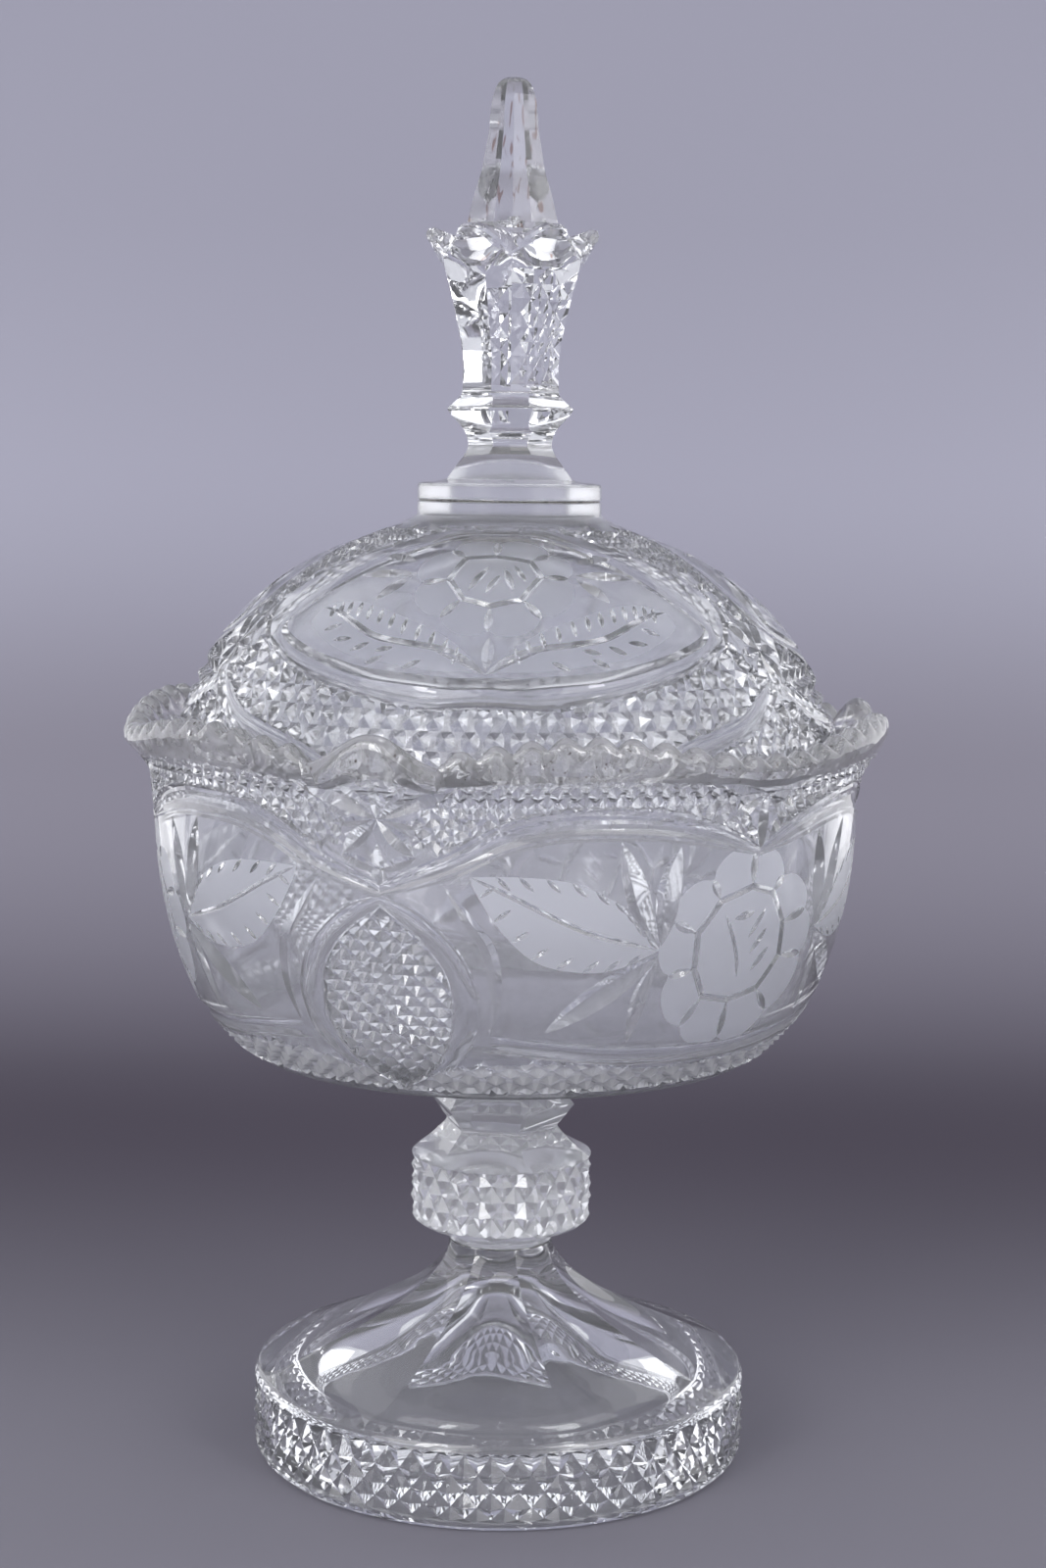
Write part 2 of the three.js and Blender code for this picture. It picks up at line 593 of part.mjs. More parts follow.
/** Solid finial: round disc, hexagonal neck and ring, flared body with six leaf tips, hexagonal spire. */
function makeFinial() {
  const discAngles = evenAngles(SMALL_ROUND_STEPS);
  // Corner radius of a hexagon that is this far across from its axis to the middle of a side.
  const cornerOf = (sideDistance) => sideDistance / FACE_RATIO;
  const hex = ([sideDistance, height]) => hexRing(0, cornerOf(sideDistance), height);
  const crownRing = (cornerShare, rise, tipRadius, tipHeight) => {
    const corner = cornerOf(cornerShare * CROWN_TIP_RADIUS);
    return hexRing(0, corner, CROWN_VALLEY_HEIGHT + rise, tipRadius, tipHeight);
  };
  const disc = [
    roundRing(discAngles, BOSS_RADIUS, DISC_BOTTOM),
    roundRing(discAngles, BOSS_RADIUS, DISC_TOP - 0.8),
    roundRing(discAngles, BOSS_RADIUS - 0.8, DISC_TOP),
    hexRing(0, 0.8 * CROWN_TIP_RADIUS, DISC_TOP + 1.2, 0.73 * CROWN_TIP_RADIUS),
  ];
  const body = outlineFrom(FINIAL_BODY_SHAPE, CROWN_TIP_RADIUS, DISC_TOP, TOTAL_HEIGHT).map(hex);
  const crown = [
    crownRing(0.8, 0, 0.9 * CROWN_TIP_RADIUS, CROWN_VALLEY_HEIGHT + 2),
    crownRing(0.79, 1, CROWN_TIP_RADIUS, CROWN_TIP_HEIGHT - 2.2),
    crownRing(0.75, 2.4, CROWN_TIP_RADIUS - 0.8, CROWN_TIP_HEIGHT),
    crownRing(0.635, 6.6, 0.73 * CROWN_TIP_RADIUS, CROWN_TIP_HEIGHT - 0.9),
  ];
  const spire = outlineFrom(SPIRE_SHAPE, CROWN_TIP_RADIUS, DISC_TOP, TOTAL_HEIGHT).map(hex);
  const tip = [
    hex([SPIRE_TIP_RADIUS, TOTAL_HEIGHT - 1.4]),
    hex([SPIRE_TIP_RADIUS / 2, TOTAL_HEIGHT]),
  ];
  const rings = [...disc, ...body, ...crown, ...spire, ...tip];
  return piece('finial', solidThroughRings(DISC_BOTTOM, rings, TOTAL_HEIGHT), clearGlass(0xe8eaf2));
}

/** Whole compote. */
function makeCompote() {
  const compote = new THREE.Group();
  compote.add(
    makeFoot(),
    bondFilm('foot_bond', FOOT_NECK_RADIUS - BOND_INSET, FOOT_HEIGHT, FLUTE_RIDGE_ANGLE),
    makeStem(),
    bondFilm('bowl_bond', BOWL_SEAT_RADIUS - BOND_INSET, STEM_TOP, STEM_VERTEX_ANGLE),
    makeBowl(),
    makeLid(),
    bondFilm('finial_bond', BOSS_RADIUS - BOND_INSET, BOSS_TOP, 0),
    makeFinial(),
  );
  return compote;
}

export default makeCompote();
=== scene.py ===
"""Looks of the lidded compote: clear pressed crystal with cut and frosted ornament.

Every glass piece is one closed surface worked out with numpy, in millimetres, and turned to
metres when it becomes a mesh. Angles are in degrees, from the front of the object (-Y) round
towards +X. The ornament repeats three times round the axis, so it is drawn for one sector of
120 degrees and carried to the others.
"""

import logging
import math
from collections.abc import Callable, Sequence
from dataclasses import dataclass, field
from enum import Enum, IntEnum
from functools import cached_property
from typing import ClassVar

import bmesh
import bpy
import numpy as np
from mathutils import Matrix, Vector
from mathutils.geometry import delaunay_2d_cdt

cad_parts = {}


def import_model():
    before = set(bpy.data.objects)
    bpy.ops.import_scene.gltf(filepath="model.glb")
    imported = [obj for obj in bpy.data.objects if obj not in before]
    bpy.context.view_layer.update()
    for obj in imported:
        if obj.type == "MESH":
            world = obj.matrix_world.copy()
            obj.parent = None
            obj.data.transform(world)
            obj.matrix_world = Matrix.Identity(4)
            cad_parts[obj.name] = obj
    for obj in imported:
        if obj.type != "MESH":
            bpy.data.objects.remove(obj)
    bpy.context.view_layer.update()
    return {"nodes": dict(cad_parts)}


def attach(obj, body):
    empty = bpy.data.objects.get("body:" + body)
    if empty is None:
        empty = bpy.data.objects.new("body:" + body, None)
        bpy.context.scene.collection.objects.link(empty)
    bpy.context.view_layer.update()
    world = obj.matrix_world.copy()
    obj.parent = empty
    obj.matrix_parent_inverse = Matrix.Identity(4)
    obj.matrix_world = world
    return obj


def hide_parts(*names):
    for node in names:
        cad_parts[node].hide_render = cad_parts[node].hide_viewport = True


Array = np.ndarray
Point = tuple[float, float]
Points = tuple[Point, ...]
Numbers = tuple[float, ...]

LOG = logging.getLogger("compote")
MILLIMETRE = 0.001

SECTORS = 3
SECTOR_ANGLE = 360.0 / SECTORS
FRONT_OVAL_ANGLE = -18.3
FRONT_ROSE_ANGLE = FRONT_OVAL_ANGLE + SECTOR_ANGLE / 2
FRONT_MEDALLION_ANGLE = -3.5

TOTAL_HEIGHT = 449.8
# Air between a glass face and the adhesive film on it.
JOINT_GAP = 0.03
# Distances in metres under which two points become one, and an edge vanishes.
MERGED_POINTS = 2e-6
VANISHING_EDGE = 1e-7
# Width in millimetres by which a box is larger than the outline that it is drawn round.
BOX_MARGIN = 0.1


# Lines and outlines


def smooth_line(points: Points | Array, steps: int = 8) -> Array:
    """Smooth line through points, in cubic spans.

    Each span is half of (2 p1 + (p2 - p0) t + (2 p0 - 5 p1 + 4 p2 - p3) t^2
    + (3 p1 - p0 - 3 p2 + p3) t^3), with the end points doubled outwards.

    Args:
        points: at least two points.
        steps: lines drawn for each span.

    Returns:
        The points of the smooth line, the last one included.
    """
    p = np.asarray(points, float)
    if len(p) < 3:
        share = np.linspace(0, 1, steps + 1)[:, None]
        return p[0] + (p[-1] - p[0]) * share
    padded = np.vstack([2 * p[0] - p[1], p, 2 * p[-1] - p[-2]])
    p0, p1, p2, p3 = padded[:-3], padded[1:-2], padded[2:-1], padded[3:]
    t = (np.arange(steps) / steps)[:, None, None]
    spans = 0.5 * (
        2 * p1 + (p2 - p0) * t + (2 * p0 - 5 * p1 + 4 * p2 - p3) * t**2
        + (3 * p1 - p0 - 3 * p2 + p3) * t**3
    )
    return np.vstack([spans.transpose(1, 0, 2).reshape(-1, 2), p[-1]])


def resample(line: Array, step: float) -> Array:
    """Same line with its points about one step apart.

    Args:
        line: points of the line.
        step: distance wanted between points.

    Returns:
        The new points, both ends included.
    """
    lengths = np.hypot(*np.diff(line, axis=0).T)
    along = np.concatenate([[0], np.cumsum(lengths)])
    count = max(2, int(round(along[-1] / step)) + 1)
    places = np.linspace(0, along[-1], count)
    return np.stack([np.interp(places, along, line[:, k]) for k in (0, 1)], axis=1)


def normals_of(line: Array) -> Array:
    """Unit normals on the left of a line.

    Args:
        line: points of the line.

    Returns:
        One normal for each point.
    """
    along = np.gradient(line, axis=0)
    along /= np.maximum(np.hypot(along[:, 0], along[:, 1]), 1e-9)[:, None]
    return np.stack([-along[:, 1], along[:, 0]], axis=1)


def nearest_on_line(points: Array, line: Array) -> tuple[Array, Array]:
    """Distance from each point to a line, and where along it the nearest place is.

    Args:
        points: points to measure from.
        line: points of the line.

    Returns:
        The distances, and the places as shares of the line from 0 to 1, by its point numbers.
    """
    start = line[:-1]
    step = np.diff(line, axis=0)
    squared = np.maximum((step**2).sum(1), 1e-12)
    offset = points[:, None, :] - start
    share = np.clip((offset * step).sum(2) / squared, 0, 1)
    gap = offset - share[:, :, None] * step
    distance = np.sqrt((gap**2).sum(2))
    best = distance.argmin(1)
    rows = np.arange(len(points))
    return distance[rows, best], (best + share[rows, best]) / len(step)


def inside_polygon(points: Array, corners: Array) -> Array:
    """Whether points are inside a polygon: a line to the right crosses its edge an odd number of times.

    Args:
        points: points to test.
        corners: corners of the polygon.

    Returns:
        A mark for each point.
    """
    x, y = points[:, 0, None], points[:, 1, None]
    x0, y0 = corners[:, 0], corners[:, 1]
    x1, y1 = np.roll(x0, -1), np.roll(y0, -1)
    spans = (y0 > y) != (y1 > y)
    rise = np.where(np.abs(y1 - y0) < 1e-12, 1e-12, y1 - y0)
    crossing = x0 + (y - y0) * (x1 - x0) / rise
    return (spans & (x < crossing)).sum(1) % 2 == 1


def in_box(points: Array, low: Array, high: Array) -> Array:
    """Numbers of the points that lie in a box."""
    return np.flatnonzero(((points > low) & (points < high)).all(1))


def in_outline(points: Array, outline: Array) -> Array:
    """Numbers of the points that lie in a closed outline, looked for in a box just larger."""
    near = in_box(points, outline.min(0) - BOX_MARGIN, outline.max(0) + BOX_MARGIN)
    return near[inside_polygon(points[near], outline)]


class Profile:
    """Outline of a turned surface, with the glass on its left, and the distance along it."""

    def __init__(self, points: Points | Array, steps: int = 12) -> None:
        """Smooths the outline and measures it.

        Args:
            points: radius and height of points on the outline.
            steps: lines drawn for each span.
        """
        line = smooth_line(points, steps)
        self.radius, self.height = line.T
        lengths = np.hypot(np.diff(self.radius), np.diff(self.height))
        self.along = np.concatenate([[0], np.cumsum(lengths)])
        self.length = float(self.along[-1])
        tangent = np.gradient(line, self.along, axis=0)
        tangent /= np.hypot(tangent[:, 0], tangent[:, 1])[:, None]
        self.out_radius, self.out_height = tangent[:, 1], -tangent[:, 0]
        middle = (self.radius[1:] + self.radius[:-1]) / 2
        self.turn = np.concatenate([[0], np.cumsum(lengths / middle)])

    def at(self, place: Array) -> tuple[Array, Array]:
        """Radius and height at distances along the outline."""
        return np.interp(place, self.along, self.radius), np.interp(place, self.along, self.height)

    def outward(self, place: Array) -> tuple[Array, Array]:
        """Outward direction at distances along the outline, as radius and height."""
        return tuple(np.interp(place, self.along, out) for out in (self.out_radius, self.out_height))

    def place_of(self, height: Array) -> Array:
        """Distance along the outline of points at these heights, where it only rises."""
        return np.interp(height, self.height, self.along)

    def place_at(self, height: float) -> float:
        """Distance along the outline of the point at one height."""
        return float(self.place_of(height))


def polar(angle: Array, radius: Array, height: Array) -> Array:
    """Points at angles from the front, radii and heights.

    x is the radius times the sine of the angle, and y the radius times its negative cosine.

    Args:
        angle: angles in degrees.
        radius: radii.
        height: heights.

    Returns:
        Points, with x, y and z in the last axis.
    """
    angle, radius, height = np.broadcast_arrays(angle, radius, height)
    turn = np.radians(angle)
    return np.stack([radius * np.sin(turn), -radius * np.cos(turn), height], axis=-1)


def spread_over(line: Array, values: Numbers) -> Array:
    """Values given for the points of an outline, spread evenly over its smooth line."""
    return np.interp(np.linspace(0, len(values) - 1, len(line)), np.arange(len(values)), values)


def even_angles(count: int, start: float = 0.0) -> Array:
    """Evenly spaced angles for one turn."""
    return start + 360.0 * np.arange(count) / count


def wrapped(angle: Array, span: float) -> Array:
    """Angles brought to within half a span on either side of zero."""
    return (np.asarray(angle) + span / 2) % span - span / 2


# Surfaces


class Finish(IntEnum):
    """Number of each finish in the material list of a glass piece."""

    POLISHED = 0
    FROSTED = 1
    DUSTY = 2
    INSIDE = 3
    WORN = 4


@dataclass
class Patch:
    """Part of a surface: points in mm, triangles that face outwards, and a finish number for each."""

    points: Array
    triangles: Array
    finishes: Array

    @staticmethod
    def joined(patches: list["Patch"]) -> "Patch":
        """One patch made of several.

        Args:
            patches: the patches.

        Returns:
            All their points and triangles.
        """
        starts = np.cumsum([0] + [len(p.points) for p in patches[:-1]])
        return Patch(
            np.vstack([p.points for p in patches]),
            np.vstack([p.triangles + s for p, s in zip(patches, starts)]),
            np.concatenate([p.finishes for p in patches]),
        )


def stitched(low: int, high: int, low_start: int, high_start: int, crossed: Array | None = None) -> Array:
    """Triangles between two rings with as many points, or twice or half as many.

    Args:
        low: number of points on the lower ring.
        high: number of points on the upper ring.
        low_start: number of the lower ring's first point.
        high_start: number of the upper ring's first point.
        crossed: for rings alike, which squares are split along their other diagonal.

    Returns:
        The triangles, facing outwards for rings that rise.
    """
    i = np.arange(min(low, high))
    if low == high:
        a, b = low_start + i, low_start + (i + 1) % low
        c, d = high_start + i, high_start + (i + 1) % high
        flip = np.zeros(low, bool) if crossed is None else crossed
        first = np.where(flip[:, None], np.stack([a, b, d], 1), np.stack([a, b, c], 1))
        second = np.where(flip[:, None], np.stack([a, d, c], 1), np.stack([b, d, c], 1))
        return np.vstack([first, second])
    if high == 2 * low:
        a, b = low_start + i, low_start + (i + 1) % low
        c, d, e = (high_start + (2 * i + k) % high for k in range(3))
        return np.vstack([np.stack(t, 1) for t in ((a, d, c), (a, b, d), (b, e, d))])
    a, b, c = (low_start + (2 * i + k) % low for k in range(3))
    d, e = high_start + i, high_start + (i + 1) % high
    return np.vstack([np.stack(t, 1) for t in ((a, b, d), (b, e, d), (b, c, e))])


class RingStack:
    """Surface built ring by ring along an outline, which may be closed at its ends on the axis."""

    def __init__(self) -> None:
        """Starts with no rings."""
        self.rings: list[tuple[Array, Array | None, int]] = []
        self.first: float | None = None
        self.last: float | None = None

    def add(self, ring: Array, crossed: Array | None = None, finish: int = 0) -> None:
        """Adds a ring of points, with the split of the squares below it and their finish number."""
        self.rings.append((ring, crossed, finish))

    def close_first(self, height: float) -> None:
        """Closes the first ring with a point on the axis."""
        self.first = height

    def close_last(self, height: float) -> None:
        """Closes the last ring with a point on the axis."""
        self.last = height

    def patch(self) -> Patch:
        """Joins the rings.

        Returns:
            The triangles of the whole stack.
        """
        rings, crossed, finish = zip(*self.rings)
        counts = [len(ring) for ring in rings]
        starts = np.cumsum([0] + counts)
        points, triangles, finishes = list(rings), [], []
        for k in range(1, len(counts)):
            made = stitched(counts[k - 1], counts[k], starts[k - 1], starts[k], crossed[k])
            triangles.append(made)
            finishes.append(np.full(len(made), finish[k]))
        total = starts[-1]
        if self.first is not None:
            i = np.arange(counts[0])
            triangles.append(np.stack([np.full(counts[0], total), (i + 1) % counts[0], i], 1))
            finishes.append(np.full(counts[0], finish[0]))
            points.append(np.array([[0, 0, self.first]]))
            total += 1
        if self.last is not None:
            i = np.arange(counts[-1])
            rim = starts[-2] + i, starts[-2] + (i + 1) % counts[-1]
            triangles.append(np.stack([*rim, np.full(counts[-1], total)], 1))
            finishes.append(np.full(counts[-1], finish[-1]))
            points.append(np.array([[0, 0, self.last]]))
        return Patch(np.vstack(points), np.vstack(triangles), np.concatenate(finishes))


@dataclass
class GlassPiece:
    """Piece of glass that rides on a CAD body and takes a node's place; each kind has its own surface."""

    name: ClassVar[str]
    body: ClassVar[str]
    node: ClassVar[str]
    # Angle in degrees between two faces past which their edge is sharp.
    crease: ClassVar[float] = 14.0

    def patches(self) -> list[Patch]:
        """Parts of the surface, whose edges meet."""
        raise NotImplementedError

    def build(self, finishes: list[bpy.types.Material]) -> bpy.types.Object:
        """Turns the surface into one closed mesh and dresses it.

        Args:
            finishes: materials by finish number.

        Returns:
            The piece.
        """
        whole = Patch.joined(self.patches())
        mesh = bpy.data.meshes.new(self.name)
        mesh.vertices.add(len(whole.points))
        mesh.vertices.foreach_set("co", (whole.points * MILLIMETRE).astype(np.float32).ravel())
        mesh.loops.add(3 * len(whole.triangles))
        mesh.loops.foreach_set("vertex_index", whole.triangles.astype(np.int32).ravel())
        mesh.polygons.add(len(whole.triangles))
        mesh.polygons.foreach_set("loop_start", np.arange(0, 3 * len(whole.triangles), 3, dtype=np.int32))
        mesh.polygons.foreach_set("material_index", whole.finishes.astype(np.int32))
        mesh.update(calc_edges=True)
        mesh.validate()
        edit = bmesh.new()
        edit.from_mesh(mesh)
        bmesh.ops.remove_doubles(edit, verts=edit.verts, dist=MERGED_POINTS)
        bmesh.ops.dissolve_degenerate(edit, edges=edit.edges, dist=VANISHING_EDGE)
        bmesh.ops.triangulate(edit, faces=[f for f in edit.faces if len(f.verts) > 3])
        open_edges = sum(1 for edge in edit.edges if not edge.is_manifold)
        edit.to_mesh(mesh)
        edit.free()
        mesh.shade_smooth()
        mesh.set_sharp_from_angle(angle=math.radians(self.crease))
        piece = bpy.data.objects.new(self.name, mesh)
        bpy.context.scene.collection.objects.link(piece)
        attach(piece, self.body)
        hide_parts(self.node)
        for material in finishes:
            mesh.materials.append(material)
        LOG.info("%s: %d triangles, %d open edges", self.name, len(mesh.polygons), open_edges)
        return piece


# Cuts


# Surface kept free of loose points on either side of a cut.
BESIDE_CUT = 0.7
# Least distance between the ornament and the plain rings that close its surface.
RING_MARGIN = 0.4
# Distance along the outline within which a point belongs to such a ring.
ON_RING = 0.02
# Distance in the conformal plane under which two points become one.
PLANE_TOLERANCE = 1e-3
# Depth past which a cut has taken the frosting away.
POLISHED_DEPTH = 0.04
# Distances between the drawn points of each kind of line.
OUTLINE_STEP = 2.2
GROOVE_STEP = 2.2
BLADE_STEP = 2.4
BAND_STEP = 2.6


class CutShape(Enum):
    """Cross-section that a grinding wheel leaves."""

    MITRE = "sharp groove with two flat flanks"
    HOLLOW = "rounded channel"


@dataclass(frozen=True)
class Cut:
    """Cut along a line in the flat drawing of one sector, tapering to where its width ends."""

    line: Array
    half_widths: Array
    depth: float
    shape: CutShape = CutShape.MITRE
    mirrored: bool = True

    def edges(self) -> list[Array]:
        """Lines that the surface's triangles follow.

        Returns:
            Both sides, the bottom, and for a hollow two lines more on either side of it.
        """
        shares = (-1.0, 0.0, 1.0)
        if self.shape is CutShape.HOLLOW:
            shares = (-1.0, -0.66, -0.33, 0.0, 0.33, 0.66, 1.0)
        across = normals_of(self.line) * self.half_widths[:, None]
        return [self.line + share * across for share in shares]

    def reach(self) -> tuple[Array, Array]:
        """Box that holds the cut, with a little to spare."""
        margin = self.half_widths.max() + 1.0
        return self.line.min(0) - margin, self.line.max(0) + margin

    def depth_at(self, points: Array) -> tuple[Array, Array]:
        """Depth below the surface at points, and whether each is in the cut or just beside it.

        A mitre's depth falls in a straight line from its bottom to its sides, a hollow's as a
        parabola, and both are as deep as the cut is wide there.

        Args:
            points: points in the flat drawing.

        Returns:
            The depths in mm and the marks.
        """
        distance, place = nearest_on_line(points, self.line)
        numbers = np.linspace(0, 1, len(self.line))
        width = np.interp(place, numbers, self.half_widths)
        share = np.clip(1 - distance / np.maximum(width, 1e-6), 0, 1)
        if self.shape is CutShape.HOLLOW:
            share = share * (2 - share)
        depth = self.depth * share * width / self.half_widths.max()
        return depth, distance < width + BESIDE_CUT


def lens(start: Point | Array, end: Point | Array, half_width: float, bend: float = 0.0,
         depth: float | None = None, mirrored: bool = True, fullest: float = 0.5) -> Cut:
    """Mitre cut that is pointed at both ends and widest between, as a wheel leaves where it dips in.

    It follows a parabola, and its width rises and falls with the 0.8th power of a sine.

    Args:
        start: where it starts.
        end: where it ends.
        half_width: half of its greatest width.
        bend: how far its middle lies to the left of the straight line.
        depth: greatest depth, or half of the half width.
        mirrored: whether the other half of the sector has it too.
        fullest: place of the greatest width, as a share of its length.

    Returns:
        The cut.
    """
    a, b = np.array(start, float), np.array(end, float)
    length = np.hypot(*(b - a))
    left = np.array([-(b - a)[1], (b - a)[0]]) / length
    t = np.linspace(0, 1, max(7, int(length / 2.0) | 1))
    line = a + (b - a) * t[:, None] + left * (4 * bend * t * (1 - t))[:, None]
    warped = t ** (math.log(0.5) / math.log(fullest))
    widths = half_width * np.sin(np.pi * warped) ** 0.8
    widths[[0, -1]] = 0
    return Cut(line, widths, depth or 0.5 * half_width, CutShape.MITRE, mirrored)


def groove(points: Points | Array, half_width: float, depth: float, mirrored: bool = True,
           closed: bool = False) -> Cut:
    """Mitre cut of even width along a smooth line, pointed at its ends unless it is closed.

    To either end, its width falls over a sixth of the length with the 0.7th power of the distance.

    Args:
        points: points that it passes through.
        half_width: half of its width.
        depth: its depth.
        mirrored: whether the other half of the sector has it too.
        closed: whether it ends where it starts.

    Returns:
        The cut.
    """
    line = resample(smooth_line(points), GROOVE_STEP)
    t = np.linspace(0, 1, len(line))
    taper = np.ones(len(line)) if closed else np.minimum(1, np.minimum(t, 1 - t) * 6) ** 0.7
    return Cut(line, half_width * taper, depth, CutShape.MITRE, mirrored)


def band(upper: Points | Array, lower: Points | Array, depth: float, mirrored: bool = True,
         shape: CutShape = CutShape.HOLLOW) -> Cut:
    """Cut between two smooth lines, midway between them and as wide as they stand apart.

    Args:
        upper: points of one side.
        lower: points of the other side, from the same end.
        depth: its depth where it is widest.
        mirrored: whether the other half of the sector has it too.
        shape: its cross-section.

    Returns:
        The cut.
    """
    a, b = smooth_line(upper), smooth_line(lower)
    count = max(4, int(np.hypot(*np.diff(a, axis=0).T).sum() / BAND_STEP))
    share = np.linspace(0, 1, count)
    numbers_a, numbers_b = np.linspace(0, 1, len(a)), np.linspace(0, 1, len(b))
    side_a = np.stack([np.interp(share, numbers_a, a[:, k]) for k in (0, 1)], 1)
    side_b = np.stack([np.interp(share, numbers_b, b[:, k]) for k in (0, 1)], 1)
    middle = (side_a + side_b) / 2
    across = np.abs(((side_a - side_b) * normals_of(middle)).sum(1)) / 2
    return Cut(middle, across, depth, shape, mirrored)


@dataclass(frozen=True)
class DiamondField:
    """Area of hobnail diamonds: pyramids between two sets of crossing grooves."""

    outline: Array
    half_angle: float
    half_row: float
    first_row: float
    depth: float
    mirrored: bool = True
    finish: Finish = Finish.POLISHED

    def numbers(self, angle: Array, place: Array) -> tuple[Array, Array]:
        """Where points lie across the first set of grooves and the second, whole on a groove."""
        across, up = angle / self.half_angle, (place - self.first_row) / self.half_row
        return (across + up) / 2, (across - up) / 2

    def depth_at(self, angle: Array, place: Array) -> Array:
        """Depth below the surface: none at a pyramid's tip, and full on both grooves."""
        from_groove = [np.abs(number - np.round(number)) for number in self.numbers(angle, place)]
        return self.depth * (1 - 2 * np.minimum(*from_groove))


@dataclass(frozen=True)
class FrostedArea:
    """Area that is left matt by sandblasting or acid."""

    outline: Array
    mirrored: bool = True


def leaf_outline(upper: Array, lower: Array) -> Array:
    """Closed outline of a leaf from its two sides, both drawn from stalk to tip."""
    return np.vstack([smooth_line(upper, 5), smooth_line(lower, 5)[::-1][1:-1]])


class Chart:
    """Flat drawing of a turned surface's ornament.

    A drawing has true lengths near its middle. The triangles are found in a second, conformal
    plane, where the radius is e to the power of the distance along the outline over the radius.
    """

    def __init__(self, profile: Profile, axis_angle: float, rising: bool) -> None:
        """Makes the chart.

        Args:
            profile: outline of the surface.
            axis_angle: angle of the middle of the sector that is drawn.
            rising: whether the conformal plane's radius grows along the outline.
        """
        self.profile = profile
        self.axis_angle = axis_angle
        self.sign = 1.0 if rising else -1.0
        # Size of the conformal plane, on which its tolerance is measured.
        self.scale = 100.0

    def draw(self, angle: Array, place: Array) -> Array:
        """Flat point of an angle from the sector's middle and a distance along the outline."""
        raise NotImplementedError

    def read(self, flat: Array) -> tuple[Array, Array]:
        """Angle from the sector's middle and distance along the outline of a flat point."""
        raise NotImplementedError

    def points(self, *pairs: Point) -> Array:
        """Flat points of angles from the sector's middle and heights."""
        given = np.array(pairs, float)
        return self.draw(given[:, 0], self.profile.place_of(given[:, 1]))

    def spot(self, angle: float, height: float) -> Array:
        """Flat point of one angle from the sector's middle and one height."""
        return self.points((angle, height))[0]

    def to_plane(self, angle: Array, place: Array) -> Array:
        """Points of the conformal plane for angles and distances along the outline."""
        radius = self.scale * np.exp(self.sign * np.interp(place, self.profile.along, self.profile.turn))
        return np.stack([radius * part(np.radians(angle)) for part in (np.cos, np.sin)], axis=-1)

    def from_plane(self, point: Array) -> tuple[Array, Array]:
        """Angles and distances along the outline of points of the conformal plane."""
        turn = self.sign * np.log(np.hypot(point[:, 0], point[:, 1]) / self.scale)
        return np.degrees(np.arctan2(*point.T[::-1])), np.interp(turn, self.profile.turn, self.profile.along)


class WallChart(Chart):
    """Chart of an upright wall: across is the arc at one radius, and up is along the outline."""

    arc_radius = 113.0

    def draw(self, angle: Array, place: Array) -> Array:
        """Arc at the chart's radius, and the distance along the outline."""
        angle, place = np.broadcast_arrays(np.asarray(angle, float), np.asarray(place, float))
        return np.stack([np.radians(angle) * self.arc_radius, place], axis=-1)

    def read(self, flat: Array) -> tuple[Array, Array]:
        """Reverse of draw."""
        return np.degrees(flat[..., 0] / self.arc_radius), flat[..., 1]

    def arc_points(self, *pairs: Point) -> Array:
        """Flat points of arcs from the sector's middle, in mm, and heights."""
        given = np.array(pairs, float)
        return np.stack([given[:, 0], self.profile.place_of(given[:, 1])], axis=-1)


class DomeChart(Chart):
    """Chart of a dome seen from above: the distance from the axis is the arc from the top."""

    def draw(self, angle: Array, place: Array) -> Array:
        """Across by the sine of the angle, and towards the front by its cosine."""
        reach = self.profile.radius[-1] + self.profile.length - np.asarray(place, float)
        return np.stack([reach * part(np.radians(angle)) for part in (np.sin, np.cos)], axis=-1)

    def read(self, flat: Array) -> tuple[Array, Array]:
        """Reverse of draw."""
        place = self.profile.radius[-1] + self.profile.length - np.hypot(flat[..., 0], flat[..., 1])
        return np.degrees(np.arctan2(flat[..., 0], flat[..., 1])), place


def with_mirror(line: Array, mirrored: bool) -> list[Array]:
    """Line given by angle and place, and its mirror image where there is one."""
    return [line, line * (-1.0, 1.0)] if mirrored else [line]


